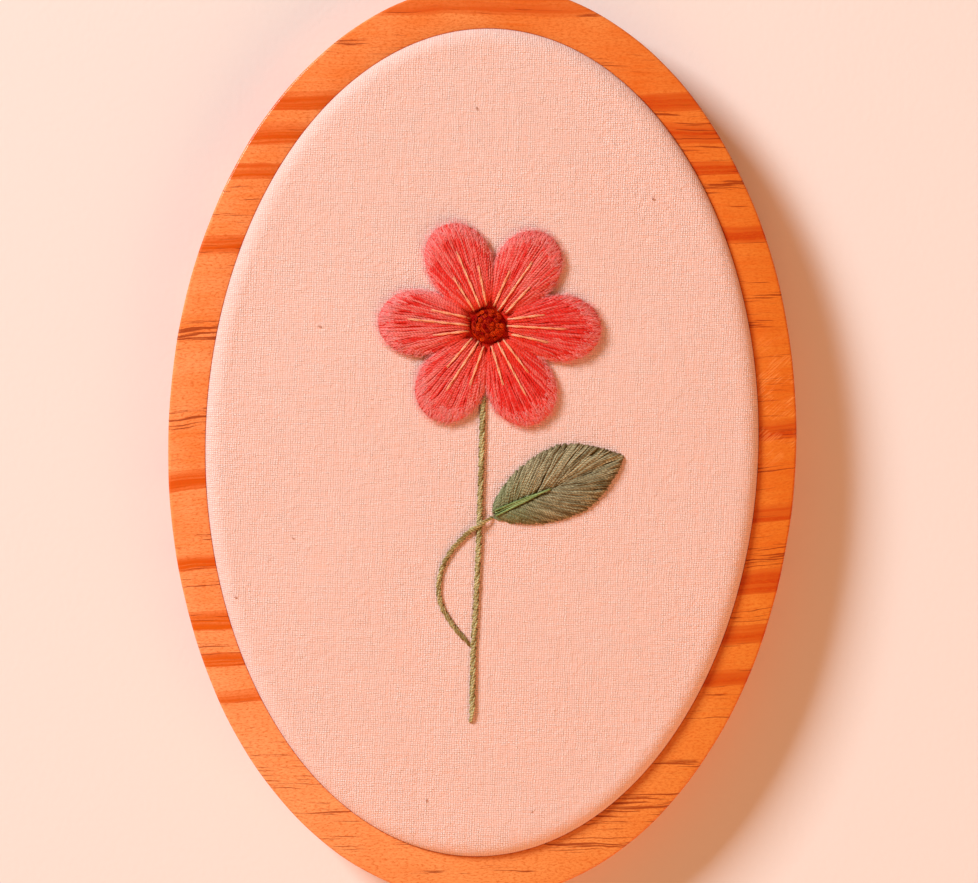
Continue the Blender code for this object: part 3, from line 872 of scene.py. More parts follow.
def thread_tubes(paths, radii):
    """Points, faces and uv of tubes. u is the turn from the underside, and v the length in mm."""
    count, steps = paths.shape[:2]
    along = unit(np.gradient(paths, axis=1))
    across = unit(np.cross(along, (0, 0, 1)))
    up = np.cross(across, along)
    turn = (2 * math.pi * np.arange(THREAD_SIDES) / THREAD_SIDES - math.pi / 2)[:, None]
    ring = np.cos(turn) * across[:, :, None] + np.sin(turn) * up[:, :, None]
    tubes = paths[:, :, None] + radii[:, :, None, None] * ring
    ends = paths[:, [0, -1]] + 0.5 * (radii[:, [0, -1]] * (-1, 1))[:, :, None] * along[:, [0, -1]]
    points = np.concatenate([tubes.reshape(count, -1, 3), ends], axis=1)

    quads, caps = closed_rings(steps, THREAD_SIDES)
    shift = (np.arange(count) * points.shape[1])[:, None, None]
    faces = [(quads + shift).reshape(-1, 4), (caps + shift).reshape(-1, 3)]

    length = np.cumsum(np.linalg.norm(np.diff(paths, axis=1, prepend=paths[:, :1]), axis=-1), axis=1)
    i, j = (part.ravel() for part in np.mgrid[: steps - 1, :THREAD_SIDES])
    u = np.stack([j, j + 1, j + 1, j], axis=-1) / THREAD_SIDES
    v = length[:, np.stack([i, i, i + 1, i + 1], axis=-1)]
    quad_uv = np.stack([np.broadcast_to(u, v.shape), v], axis=-1).reshape(-1, 4, 2)
    side = np.arange(THREAD_SIDES)
    cap_u = np.vstack([
        np.column_stack([side + 0.5, side + 1, side]), np.column_stack([side, side + 1, side + 0.5]),
    ]) / THREAD_SIDES
    cap_v = np.repeat(length[:, [0, -1]], THREAD_SIDES, axis=1)[:, :, None]
    cap_uv = np.stack(np.broadcast_arrays(cap_u[None], cap_v), axis=-1).reshape(-1, 3, 2)
    return points.reshape(-1, 3), faces, [quad_uv, cap_uv]


def add_threads(name, paths, radii, tones, material):
    """A piece made of threads, each with its own tone from 0, deep, to 1, bright."""
    points, faces, uv = thread_tubes(paths, radii)
    tone = np.repeat(tones, len(points) // len(paths))
    return make_piece(name, points, faces, material, uv=uv, tone=tone)


def place(flat, direction, origin=FLOWER):
    """Turns points of x and y by direction degrees and moves them to the origin given."""
    turn = math.radians(direction)
    across = np.array([[math.cos(turn), math.sin(turn)], [-math.sin(turn), math.cos(turn)]])
    return flat @ across + np.array(origin)


def polar(away, angle):
    """Points x = r cos a and y = r sin a."""
    return np.stack([away * np.cos(angle), away * np.sin(angle)], axis=-1)


def lifted(flat, lift):
    """Points of x and y with their lift as the third number."""
    return np.concatenate([flat, lift[..., None]], axis=-1)


def on_cloth(flat, lift):
    """Points of x and y lifted above the cloth by lift."""
    return lifted(flat, face_height(flat[..., 0], flat[..., 1]) + lift)


def lay(paths, direction, origin=FLOWER):
    """Paths of x, y and lift, turned and moved as place does and set on the cloth."""
    return on_cloth(place(paths[..., :2], direction, origin), paths[..., 2])


print(f"one stitch: {2 * THREAD_SIDES * STITCH_STEPS} triangles")

# %% [markdown]
# ## The shape of a petal
# Each petal is a padded pile of stitches. Seen from above it is narrow at the knots, swells
# to its widest two thirds of the way out, and ends in half an ellipse. Near the centre it
# goes a few degrees past the line halfway to the next petal, so neighbours overlap, and a
# small lift settles which of the two lies on top.
#
# A place on a petal has a share: 0 on its spine and 1 at its edge. The pile's height is
# then top * sqrt(1 - share^4), a flat dome with round shoulders, and a petal that lies over
# its neighbours is raised a little more.

# %% Petal shape
KNOTS_RADIUS = 3.3
PETAL_START = 3.7
PETAL_ROOT = 5.4
PETAL_WIDEST = 0.66
PETAL_INNER_REACH = 11.0
PETAL_GAP = 0.1
PETAL_TOP = 2.0
# how near to the edge, as a share, the petal's root counts as being
PETAL_ROOT_SHARE = 0.9
# name, direction in degrees from +X, length from the flower's centre and width in mm, and
# how far it is lifted, which settles which petal lies over its neighbours
PETALS = (
    ("petal_right", -0.5, 21.7, 12.8, 0.32),
    ("petal_upper_right", 57.5, 20.9, 12.6, 0.0),
    ("petal_upper_left", 116.0, 21.1, 12.8, 0.36),
    ("petal_left", 179.0, 21.1, 12.6, 0.16),
    ("petal_lower_left", 239.0, 20.8, 13.1, 0.0),
    ("petal_lower_right", 299.7, 21.0, 13.1, 0.1),
)
# the mean tone of each petal's threads, painted shade: the right and lower right petals, on the side away
# from the light, are painted a deeper coral
PETAL_SHADE_TONES = (0.2, 0.62, 0.42, 0.6, 0.56, 0.12)
PETAL_OVERLAP = math.radians(7)


def petal_leans():
    """For each petal, half the angle to the petal before and after it, plus the overlap."""
    directions = np.array([row[1] for row in PETALS])
    after = np.radians(np.roll(directions, -1) - directions) % (2 * math.pi) / 2 + PETAL_OVERLAP
    return list(zip(np.roll(after, 1), after))


def petal_half_width(along, length, width, lean):
    """Half width at a distance from the centre: an ellipse about the widest place.

    w / 2 sqrt(1 - ((s - s0) / reach)^2), and no more than s tan(lean) less half a gap.
    """
    widest = PETAL_WIDEST * length
    reach = np.where(along > widest, length - widest, PETAL_INNER_REACH)
    swell = width / 2 * np.sqrt(np.clip(1 - ((along - widest) / reach) ** 2, 0, None))
    return np.minimum(swell, along * math.tan(lean) - PETAL_GAP / 2 / math.cos(lean))


def petal_share(flat, length, width, leans):
    """Share from the spine to the edge: the hypotenuse of its shares to side, tip and root."""
    along, across = flat[..., 0], flat[..., 1]
    widest = PETAL_WIDEST * length
    level = np.clip(along, PETAL_START, widest)
    lower = petal_half_width(level, length, width, leans[0])
    upper = petal_half_width(level, length, width, leans[1])
    side = across / np.where(across < 0, lower, upper)
    tip = np.clip(along - widest, 0, None) / (length - widest)
    root = np.clip(PETAL_ROOT - along, 0, None) / (PETAL_ROOT - PETAL_START) * PETAL_ROOT_SHARE
    return np.clip(np.sqrt(side**2 + tip**2 + root**2), 0, 1)


def pile_height(share, top, raised):
    """Height of a petal's pile at a share: top sqrt(1 - share^4) + raised (1 - share^8)."""
    return top * np.sqrt(1 - share**4) + raised * (1 - share**8)


def petal_edge(length, width, leans):
    """The edge beyond each angle from the spine, as arrays of angles and distances."""
    along = np.linspace(PETAL_START, length, 500)
    angles, reaches = [], []
    for sign, lean in zip((-1, 1), leans):
        half = petal_half_width(along, length, width, lean)
        angle, reach = np.arctan2(half, along), np.hypot(half, along)
        outer = slice(int(np.argmax(angle)), None)
        angles.append((sign * angle[outer])[::-sign])
        reaches.append(reach[outer][::-sign])
    return np.concatenate(angles), np.concatenate(reaches)


LEANS = petal_leans()
for (name, _, length, width, _), leans in zip(PETALS, LEANS):
    edge_angles, _ = petal_edge(length, width, leans)
    print(f"{name}: spans {math.degrees(np.ptp(edge_angles)):.0f} degrees from the centre")

# %% [markdown]
# ## Padding under the petals
# A padded petal is built in two goes: first a heap of plain stitches for height, then the
# ones that show. The heap is a closed dome, a little lower than the stitches on top. Its
# deeper red is painted shade: it shows only as dark lines between them, where shade falls,
# which is what makes the sewn surface look deep.

# %% Petal padding
PADDING_DROP = 0.2
PADDING_INSET = 0.035
PADDING_MIDDLE = 0.62
PADDING_RINGS = 14


def dome(outline, middle, height):
    """Rings of a closed pad: outline drawn in towards the middle, and a flat underside.

    height(points) gives how far the top stands above the cloth. The underside is the outline
    again, at the cloth.
    """
    share = np.linspace(1, 0, PADDING_RINGS + 1)[:-1]
    flat = middle + share[:, None, None] * (outline - middle)
    lift = np.concatenate([np.zeros((1, len(outline))), height(flat)])
    return np.concatenate([outline[None], flat]), lift


def add_pad(name, outline, middle, height, turn, origin, material, tone=0.5):
    """A pad on the cloth, from an outline in its own x and y, turned and moved to its place."""
    flat, lift = dome(outline, middle, height)
    rings = on_cloth(place(flat, turn, origin), lift).reshape(-1, 3)
    centre = place(np.array([middle]), turn, origin)
    top = on_cloth(centre, height(np.array([middle])[None])[0])
    under = on_cloth(centre, np.zeros(1))
    points = np.vstack([rings, under, top])
    faces = closed_rings(len(flat), len(outline))
    uv = [np.stack([points[part, 0], points[part, 1]], axis=-1) for part in faces]
    return make_piece(name, points, faces, material, uv=uv, tone=np.full(len(points), tone))


def add_petal_padding(name, direction, length, width, raised, leans):
    """The dome under one petal's stitches."""
    widest = PETAL_WIDEST * length
    along = np.concatenate([
        np.linspace(PETAL_START, widest, 16, endpoint=False),
        widest + (length - widest) * np.sin(np.linspace(0, math.pi / 2, 16, endpoint=False)),
    ])
    lower = np.column_stack([along, -petal_half_width(along, length, width, leans[0])])
    upper = np.column_stack([along, petal_half_width(along, length, width, leans[1])])
    middle = np.array([PADDING_MIDDLE * length, 0.0])
    outline = np.vstack([lower, [(length, 0.0)], upper[::-1]])
    outline = outline + PADDING_INSET * (middle - outline)

    def height(flat):
        return pile_height(petal_share(flat, length, width, leans), PETAL_TOP - PADDING_DROP, raised)

    pad = add_pad(name + "_padding", outline, middle, height, direction, FLOWER,
                  THREADS["coral_padding_shade_cotton"])


for petal, leans in zip(PETALS, LEANS):
    add_petal_padding(*petal, leans)

# %% [markdown]
# ## Long and short stitch
# The stitches that show fan out from the centre. One row of long ones would leave gaps at
# the wide end, so an embroiderer works in rows of uneven length whose ends dive between
# each other. We do the same: four rows, each with its own count and its own share of the
# way from the centre to the edge. Where a stitch ends it sinks between its neighbours.
# Round the edge goes a last row of short stitches in a paler rose, which bend over the
# padding down to the cloth and make the rim. Its paler rose is partly the row's own thread
# and partly painted highlight, the sheen that the rim catches.

# %% Petal stitches
STITCH_RADIUS = 0.2
# stitches in the row, where they start and end as shares of the way to the edge, how far
# those ends stray, and how high the row lies, in mm
STITCH_ROWS = (
    (44, 0.62, 0.95, 0.06, 0.04),
    (42, 0.42, 0.90, 0.07, 0.08),
    (34, 0.27, 0.76, 0.08, 0.11),
    (23, 0.165, 0.54, 0.05, 0.13),
)
RIM_ROW = (96, 0.82, 1.0, 0.03, 0.0)
RIM_RADIUS = 0.15
# how far a stitch dives and how much thinner it gets near its ends
STITCH_DIVE = (0.34, 0.06, 0.34, 0.06)
STITCH_TAPER = (0.4, 0.05, 0.35, 0.05)
# how stitches stray: in angle and in slant, as shares of the angle between two of them, in
# height, and in two waves along each, in mm
ANGLE_STRAY = 0.3
SLANT_STRAY = 0.5
HEIGHT_STRAY = 0.04
WAVER = (0.02, 0.09)
RIPPLE = 0.045
HEIGHT_RIPPLE = 0.03
# how far the slow wave and the quick one turn along a stitch, in radians
WAVER_TURNS = 2.2 * math.pi
RIPPLE_TURNS = 4.5 * math.pi
# no stitch starts nearer to the centre than this share of the way
NEAREST_START = 0.16
# the fan is this much wider at its root and narrower at its tip than straight rays
FAN_CURVE = 0.04
THICKNESS_RANGE = (0.82, 1.12)
TONE_SPREAD = 0.62


def petal_stitches(rows, radius, length, width, raised, leans, random):
    """Paths, radii and tones of rows of stitches, with the petal lying along +X."""
    edge_angles, edge_reaches = petal_edge(length, width, leans)
    margin = STITCH_RADIUS / (0.5 * length)
    paths, radii, tones = [], [], []
    for count, start, end, stray, lift in rows:
        angles = np.linspace(edge_angles[0] + margin, edge_angles[-1] - margin, count)
        spacing = angles[1] - angles[0]
        angles = angles + random.uniform(-ANGLE_STRAY, ANGLE_STRAY, count) * spacing
        reach = np.interp(angles, edge_angles, edge_reaches) - STITCH_RADIUS / 2
        starts = np.clip(start + random.normal(0, stray, count), NEAREST_START, None) * reach
        ends = np.clip(end + random.normal(0, stray * (end < 0.9) + 0.006, count), 0, 1) * reach
        away = starts[:, None] + (ends - starts)[:, None] * ALONG
        phase = random.uniform(0, 2 * math.pi, (2, count, 1))
        waver = random.uniform(*WAVER, (count, 1)) * np.sin(WAVER_TURNS * EVEN + phase[0])
        waver = waver + RIPPLE * np.sin(RIPPLE_TURNS * EVEN + phase[1])
        slant = random.normal(0, SLANT_STRAY, (count, 1)) * spacing * (EVEN - 0.5)
        fan = 1 + FAN_CURVE * (1 - 2 * away / length)
        flat = polar(away, angles[:, None] * fan + slant + waver / away)
        share = petal_share(flat, length, width, leans)
        height = pile_height(share, PETAL_TOP - STITCH_RADIUS, raised)
        height = height + lift + random.normal(0, HEIGHT_STRAY, (count, 1))
        height = height + HEIGHT_RIPPLE * np.sin(RIPPLE_TURNS * EVEN + phase[0])
        height = height - near_ends(*STITCH_DIVE)
        paths.append(lifted(flat, np.maximum(height, LOWEST_LIFT)))
        radii.append(radius * random.uniform(*THICKNESS_RANGE, (count, 1)) * (1 - near_ends(*STITCH_TAPER)))
        tones.append(random.uniform(-TONE_SPREAD, TONE_SPREAD, count))
    return np.concatenate(paths), np.concatenate(radii), np.concatenate(tones)


def add_petal_stitches(petal, leans, mean_tone, random):
    """One petal's stitches, which stand for its solid, and the rim row round them."""
    name, direction, *shape = petal
    for suffix, rows, radius, thread in (
        ("_stitches", STITCH_ROWS, STITCH_RADIUS, "coral_cotton"),
        ("_rim_stitches", (RIM_ROW,), RIM_RADIUS, "rose_rim_sheen_cotton"),
    ):
        paths, radii, tones = petal_stitches(rows, radius, *shape, leans, random)
        tones = np.clip(mean_tone + tones, 0, 1)
        made = add_threads(name + suffix, lay(paths, direction), radii, tones, THREADS[thread])
        if rows is STITCH_ROWS:
            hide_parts(name)


petal_random = np.random.default_rng(21)
for petal, leans, mean_tone in zip(PETALS, LEANS, PETAL_SHADE_TONES):
    add_petal_stitches(petal, leans, mean_tone, petal_random)

# %% [markdown]
# ## Fuzz on the rims
# Cotton thread isn't smooth: loose fibres stand off it, and where a rim is seen side on
# they add up to a pale soft halo. The halo is light caught by the fibres, so their pale
# colour is painted sheen. Each fibre is a very thin thread that leaves the rim outwards
# and down, and curls. Hundreds are needed, so each has few faces. A real fibre is far
# thinner than a pixel of the picture, and these are drawn several times as thick.

# %% Rim fuzz
FIBRES_A_PETAL = 800
FIBRE_RADIUS = 0.03
FIBRE_STEPS = 6
# where a fibre leaves the rim as a share of the way to it, its length in mm, the share of
# its height that it falls, how far it arches and curls, and how low it may come, in mm
FIBRE_ROOTS = (0.84, 0.99)
FIBRE_LENGTHS = (0.5, 1.5)
FIBRE_FALLS = (0.1, 0.85)
FIBRE_ARCH = 0.12
FIBRE_CURL = 0.3
FIBRE_LOWEST = 0.06


def petal_fibres(length, width, raised, leans, random):
    """Paths of fibres with the petal along +X: out by s t, down by d t^1.4, and a curl."""
    edge_angles, edge_reaches = petal_edge(length, width, leans)
    angles = random.uniform(edge_angles[0], edge_angles[-1], (FIBRES_A_PETAL, 1))
    reach = np.interp(angles, edge_angles, edge_reaches)
    start = reach * random.uniform(*FIBRE_ROOTS, angles.shape)
    t = np.linspace(0, 1, FIBRE_STEPS)
    away = start + random.uniform(*FIBRE_LENGTHS, angles.shape) * t
    share = petal_share(polar(start, angles), length, width, leans)
    foot = pile_height(share, PETAL_TOP, raised) + LOWEST_LIFT
    fallen = random.uniform(*FIBRE_FALLS, angles.shape) * foot
    lift = np.maximum(foot - fallen * t**1.4 + FIBRE_ARCH * np.sin(math.pi * t), FIBRE_LOWEST)
    curl = random.normal(0, FIBRE_CURL, angles.shape)
    curl = curl * np.sin(2.5 * t + random.uniform(0, 6, angles.shape))
    return lifted(polar(away, angles + curl / away), lift)


def add_petal_fuzz(petal, leans, random):
    """The fibres that stand off one petal's rim."""
    name, direction, *shape = petal
    laid = lay(petal_fibres(*shape, leans, random), direction)
    radii = np.broadcast_to(FIBRE_RADIUS * np.linspace(1, 0.6, FIBRE_STEPS), laid.shape[:2])
    tones = random.uniform(0, 1, len(laid))
    fuzz = add_threads(name + "_fuzz", laid, radii, tones, THREADS["fluffy_rose_sheen_cotton"])


fuzz_random = np.random.default_rng(17)
for petal, leans in zip(PETALS, LEANS):
    add_petal_fuzz(petal, leans, fuzz_random)

# %% [markdown]
# ## Vein stitches
# Three long stitches in a pale peach lie over each petal, the middle one the longest. Each
# is two strands that turn slowly round each other. They start under the knots, arch over
# the padding and dive in again.

# %% Vein stitches
VEIN_RADIUS = 0.15
VEIN_TURN = 5.5
VEIN_LIFT = 0.4
VEIN_DIVE = (0.2, 0.05, 0.5, 0.035)
VEIN_TAPER = (0.0, 1.0, 0.55, 0.18)
# where each vein starts and ends: angle from the petal's spine in degrees and distance in mm
VEINS = (
    (-20.0, 3.7, -13.2, 12.1),
    (0.0, 3.4, 0.0, 15.6),
    (19.0, 3.7, 12.4, 11.9),
)
VEIN_STRAY = (1.2, 0.1, 1.2, 0.5)


def vein_paths(length, width, raised, leans, random):
    """Paths of the strands of one petal's veins, with the petal lying along +X."""
    rows = np.array(VEINS) + random.normal(0, 1, (len(VEINS), 4)) * VEIN_STRAY
    starts = polar(rows[:, 1], np.radians(rows[:, 0]))
    ends = polar(rows[:, 3], np.radians(rows[:, 2]))
    middle = starts[:, None] + (ends - starts)[:, None] * ALONG[:, None]
    share = petal_share(middle, length, width, leans)
    lift = pile_height(share, PETAL_TOP - STITCH_RADIUS, raised) + VEIN_LIFT - near_ends(*VEIN_DIVE)
    direction = unit(ends - starts)
    side = np.column_stack([-direction[:, 1], direction[:, 0]])
    way = np.linalg.norm(ends - starts, axis=1)[:, None] * ALONG
    paths = []
    for strand in (0, math.pi):
        turn = 2 * math.pi * way / VEIN_TURN + strand + 0.6
        flat = middle + VEIN_RADIUS * 0.8 * np.cos(turn)[..., None] * side[:, None]
        paths.append(lifted(flat, lift + VEIN_RADIUS * 0.5 * np.sin(turn)))
    return np.concatenate(paths)


def add_veins(random):
    """All the veins of the flower, as one piece."""
    laid = np.concatenate([
        lay(vein_paths(*shape, leans, random), direction)
        for (_, direction, *shape), leans in zip(PETALS, LEANS)
    ])
    radii = np.broadcast_to(VEIN_RADIUS * (1 - near_ends(*VEIN_TAPER)), laid.shape[:2])
    tones = np.clip(random.normal(0.55, 0.2, len(laid)), 0, 1)
    veins = add_threads("vein_stitches", laid, radii, tones, THREADS["peach_cotton"])


add_veins(np.random.default_rng(5))

# %% [markdown]
# ## Knots in the centre
# The centre is a cluster of French knots: the thread is wound round the needle and pulled
# down, which leaves a small coil. One knot stands in the middle, and three rings stand round
# it, leaning outwards. Each is a flat spiral that climbs as it narrows: radius
# r (1 - 0.85 t^2) and height h t. Under them lies a low dome of the same red, in a deep
# tone that is painted shade in the gaps between the knots, and coral padding, whose deeper
# red is painted shade as under the petals, that runs out under the petals' ends.

# %% Knots
# each ring's radius in mm and how many knots stand on it
KNOT_RINGS = ((0.0, 1), (0.95, 6), (1.8, 11), (2.65, 17))
KNOTS_DOME = 2.2
CENTRE_PADDING_REACH = 1.4
CENTRE_PADDING_HEIGHT = 0.55
KNOTS_RIM = 0.75
KNOT_TURNS = 2.2
KNOT_STEPS = 24
KNOT_SPREAD = 0.4
KNOT_NARROWING = 0.85
KNOT_RISE = 0.4
KNOT_THREAD = 0.12
# a knot leans outwards by so many degrees a millimetre from the middle, and strays by so
# many more either way
KNOT_LEAN = 13
KNOT_LEAN_STRAY = 48
KNOT_PLACE_STRAY = 0.1
KNOT_HEIGHT_STRAY = 0.18


def knots_height(away):
    """Height of the dome that the knots stand on: rim + (dome - rim) sqrt(1 - (r / R)^2)."""
    share = np.clip(away / KNOTS_RADIUS, 0, 1)
    return KNOTS_RIM + (KNOTS_DOME - KNOTS_RIM) * np.sqrt(1 - share**2)


def knot_paths(random):
    """One spiral for each knot, each in its own leaning frame."""
    radius = np.concatenate([np.full(count, ring) for ring, count in KNOT_RINGS])
    around = np.concatenate([2 * math.pi * (np.arange(count) + 0.3) / count for _, count in KNOT_RINGS])
    count = len(radius)
    radius = radius + random.normal(0, KNOT_PLACE_STRAY, count)
    around = around + random.normal(0, 0.09, count)
    tilt = np.radians(KNOT_LEAN * radius + random.uniform(-KNOT_LEAN_STRAY, KNOT_LEAN_STRAY, count))
    normal = lifted(polar(np.sin(tilt), around), np.cos(tilt))
    first = unit(np.cross(normal, (0.0, 1.0, 0.0)))
    second = np.cross(normal, first)
    t = np.linspace(0, 1, KNOT_STEPS)
    turn = 2 * math.pi * KNOT_TURNS * t + random.uniform(0, 2 * math.pi, (count, 1))
    spread = KNOT_SPREAD * (1 - KNOT_NARROWING * t**2) * random.uniform(0.9, 1.15, (count, 1))
    wound = polar(spread, turn)
    spiral = wound[..., [0]] * first[:, None] + wound[..., [1]] * second[:, None]
    spiral = spiral + (KNOT_RISE * t)[:, None] * normal[:, None]
    stand = knots_height(np.abs(radius)) + random.normal(0, KNOT_HEIGHT_STRAY, count)
    foot = on_cloth(polar(radius, around) + np.array(FLOWER), stand)
    return foot[:, None] + spiral


def bed_height(flat):
    """The dome's height under a point of the cluster."""
    return knots_height(np.linalg.norm(flat, axis=-1))


def padding_height(flat):
    """The centre's padding is level."""
    return np.full(flat.shape[:-1], CENTRE_PADDING_HEIGHT)


def add_knots(random):
    """The knots, which stand for the centre's solid, and the dome and padding under them."""
    paths = knot_paths(random)
    radii = np.full(paths.shape[:2], KNOT_THREAD)
    tones = random.uniform(0, 1, len(paths)) ** 1.2
    knots = add_threads("centre_knots", paths, radii, tones, THREADS["dark_red_cotton"])
    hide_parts("flower_centre")
    turn = np.linspace(0, 2 * math.pi, 48, endpoint=False)
    outline = polar(KNOTS_RADIUS + 0.1, turn)
    middle = np.zeros(2)
    # painted shade: the dome's low tone darkens the gaps between the knots
    bed = add_pad("centre_bed", outline, middle, bed_height, 0.0, FLOWER,
                  THREADS["dark_red_cotton"], tone=0.2)
    padding = add_pad("centre_padding", outline * CENTRE_PADDING_REACH, middle, padding_height, 0.0, FLOWER,
                      THREADS["coral_padding_shade_cotton"])


add_knots(np.random.default_rng(8))

# %% [markdown]
# ## Neps in the cloth
# A nep is a tiny tangle of fibre that was spun into the yarn. It stays on the cloth as a
# speck under a millimetre wide, a little darker than the threads round it. Each is made of
# a few open loops: arcs of radius r whose plane leans, so that they rise by 0.7 r.

# %% Neps
# x and y of each, in mm
NEPS = (
    (-2.6, 63.6),
    (-31.4, 21.2),
    (-35.6, -19.1),
    (-46.2, -30.6),
    (-8.8, -68.4),
    (11.3, -70.0),
    (31.4, 47.1),
)
NEP_LOOPS = 4
NEP_RADIUS = 0.15
NEP_FIBRE = 0.04
NEP_LIFT = 0.12
NEP_LEAN = 0.7
NEP_STEPS = 12


def add_neps(random):
    """All the neps, as one piece."""
    count = len(NEPS) * NEP_LOOPS
    middle = np.repeat(np.array(NEPS), NEP_LOOPS, axis=0) + random.normal(0, 0.07, (count, 2))
    turn = random.uniform(0, 2 * math.pi, (count, 1)) + 1.6 * math.pi * np.linspace(0, 1, NEP_STEPS)
    radius = NEP_RADIUS * random.uniform(0.5, 1.3, (count, 1))
    flat = middle[:, None] + polar(radius, turn)
    lean = np.sin(turn + random.uniform(0, 2 * math.pi, (count, 1)))
    paths = on_cloth(flat, NEP_LIFT + NEP_LEAN * radius * lean)
    radii = np.full(paths.shape[:2], NEP_FIBRE)
    neps = add_threads("cotton_neps", paths, radii, random.uniform(0, 1, count), THREADS["nep_cotton"])


add_neps(np.random.default_rng(12))

# %% [markdown]
# ## Stem stitch
# The stem and the leaf's stalk are rows of stem stitch: short slanted stitches, each
# starting beside the middle of the one before, which lie like a twisted cord. A stitch is
# a path along the route that crosses from one side to the other, by w cos(pi t), and
# arches by h sin(pi t)^0.8. The route is a smooth curve through a few points, the same as the
# solid's, because the solid and the stitches must lie in one place.

# %% Routes
STEM_ROUTE = ((0.0, 9.6), (-0.1, -15.0), (-0.35, -30.0), (-0.65, -39.5), (-0.55, -53.3))
STALK_ROUTE = (
    (-1.2, -38.5),
    (-4.35, -35.3),
    (-7.15, -30.6),
    (-7.35, -25.6),
    (-5.6, -21.2),
    (-2.35, -17.4),
    (-0.05, -15.7),
    (3.1, -13.3),
)
STEM_CROSSING = np.array((0.0, -15.7))
# for each row, the distance from stitch to stitch, a stitch's length, how far it crosses to
# each side and its thread's radius, all in mm
STEM_ROW = (1.8, 3.5, 0.3, 0.235)
STALK_ROW = (1.6, 3.1, 0.25, 0.21)
# how far a stitch starts off its place, how high it arches, and how deep its ends lie, in mm
START_STRAY = 0.06
STEM_ARCH = 0.38
STEM_SINK = 0.12
STEM_TAPER = (0.35, 0.06, 0.35, 0.06)
# how far apart a stitch's two strands lie, as a share of their radius, and one's extra height
STRAND_SPREAD = 0.62
STRAND_STEP = 0.05
# how high the stalk is over the stem, and how far from the crossing it starts to rise, in mm
CROSSING_RISE = 0.6
CROSSING_REACH = 1.8


def smooth_route(points, spacing=0.2):
    """A cubic through the points, h1 p + h2 m + h3 q + h4 n, resampled to equal steps."""
    points = np.array(points)
    padded = np.vstack([2 * points[0] - points[1], points, 2 * points[-1] - points[-2]])
    slopes = (padded[2:] - padded[:-2])[:, None] / 2
    t = np.linspace(0, 1, 40, endpoint=False)[:, None]
    fine = (
        (2 * t**3 - 3 * t**2 + 1) * points[:-1, None]
        + (t**3 - 2 * t**2 + t) * slopes[:-1]
        + (3 * t**2 - 2 * t**3) * points[1:, None]
        + (t**3 - t**2) * slopes[1:]
    ).reshape(-1, 2)
    fine = np.vstack([fine, points[-1:]])
    length = np.append(0, np.cumsum(np.linalg.norm(np.diff(fine, axis=0), axis=1)))
    even = np.linspace(0, length[-1], round(length[-1] / spacing) + 1)
    return even, np.column_stack([np.interp(even, length, fine[:, 0]), np.interp(even, length, fine[:, 1])])


def stem_stitches(route_points, pitch, reach, sway, radius, random, rise=None):
    """Paths, radii and tones of a row of stem stitch, two strands to a stitch."""
    distance, route = smooth_route(route_points)
    starts = np.arange(0, distance[-1] - reach + 0.01, pitch)
    starts = starts + random.normal(0, START_STRAY, len(starts)).clip(-2 * START_STRAY, 2 * START_STRAY)
    at = np.clip(starts[:, None] + reach * ALONG, 0, distance[-1])
    heading = unit(np.gradient(route, axis=0))
    x, y, ahead_x, ahead_y = (np.interp(at, distance, part) for part in (*route.T, *heading.T))
    middle = np.stack([x, y], axis=-1)
    left = np.stack([-ahead_y, ahead_x], axis=-1)
    arch = radius + STEM_ARCH * np.sin(math.pi * EVEN) ** 0.8 - STEM_SINK
    paths = []
    for strand in (-1, 1):
        side = sway * np.cos(math.pi * EVEN) + strand * STRAND_SPREAD * radius
        flat = middle + side[:, None] * left
        lift = arch + strand * STRAND_STEP + random.normal(0, 0.02, (len(starts), 1))
        if rise:
            lift = lift + rise(flat)
        paths.append(on_cloth(flat, lift))
    paths = np.concatenate(paths)
    taper = 1 - near_ends(*STEM_TAPER, way=EVEN)
    radii = radius * taper * random.uniform(0.93, 1.07, (len(paths), 1))
    return paths, radii, random.uniform(0, 1, len(paths))


def over_stem(flat):
    """The stalk's rise where it crosses the stem: rise exp(-(d / reach)^2)."""
    away = np.linalg.norm(flat - STEM_CROSSING, axis=-1)
    return CROSSING_RISE * np.exp(-((away / CROSSING_REACH) ** 2))


stem_random = np.random.default_rng(3)
stem_row = stem_stitches(STEM_ROUTE, *STEM_ROW, stem_random)
stem = add_threads("stem_stitches", *stem_row, THREADS["olive_cotton"])
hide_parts("stem")
stalk_row = stem_stitches(STALK_ROUTE, *STALK_ROW, stem_random, over_stem)
stalk = add_threads("stalk_stitches", *stalk_row, THREADS["olive_cotton"])
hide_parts("leaf_stalk")

# %% [markdown]
# ## The leaf
# The leaf is sewn in slanted satin stitch: threads leave its middle line on both sides and
# end at the edge, so each side looks like a feather. Near the base they leave steeply, and
# near the tip they lie almost along the leaf. A thread that ends at share e of the length
# starts at share 0.58 e^1.4 of it. The edge is (1 - t^2)^0.7 from the base to the widest
# place, a slimmed half ellipse, and 1 - t^1.8 from there to the tip. The ends stand out a
# little by turns, like fine teeth.

# %% Leaf shape
# where the leaf starts, its length in mm and its direction in degrees, and how far it
# reaches below (-1) and above (1) its middle line
LEAF_BASE = (2.6, -13.5)
LEAF_LENGTH = 27.2
LEAF_DIRECTION = 25.2
LEAF_HALF_WIDTHS = {-1: 6.4, 1: 7.1}
LEAF_WIDEST = 0.56
LEAF_BASE_POWER = 0.7
LEAF_TIP_POWER = 1.8
LEAF_TOP = 1.15
LEAF_GROOVE = 0.4
LEAF_PADDING_SHARE = 0.97
LEAF_PADDING_DROP = 0.2


def leaf_edge(share):
    """Half width of the leaf as a share of its widest, at a share of its length."""
    base = (1 - np.clip((LEAF_WIDEST - share) / LEAF_WIDEST, 0, 1) ** 2) ** LEAF_BASE_POWER
    tip = 1 - np.clip((share - LEAF_WIDEST) / (1 - LEAF_WIDEST), 0, 1) ** LEAF_TIP_POWER
    return np.where(share < LEAF_WIDEST, base, tip)


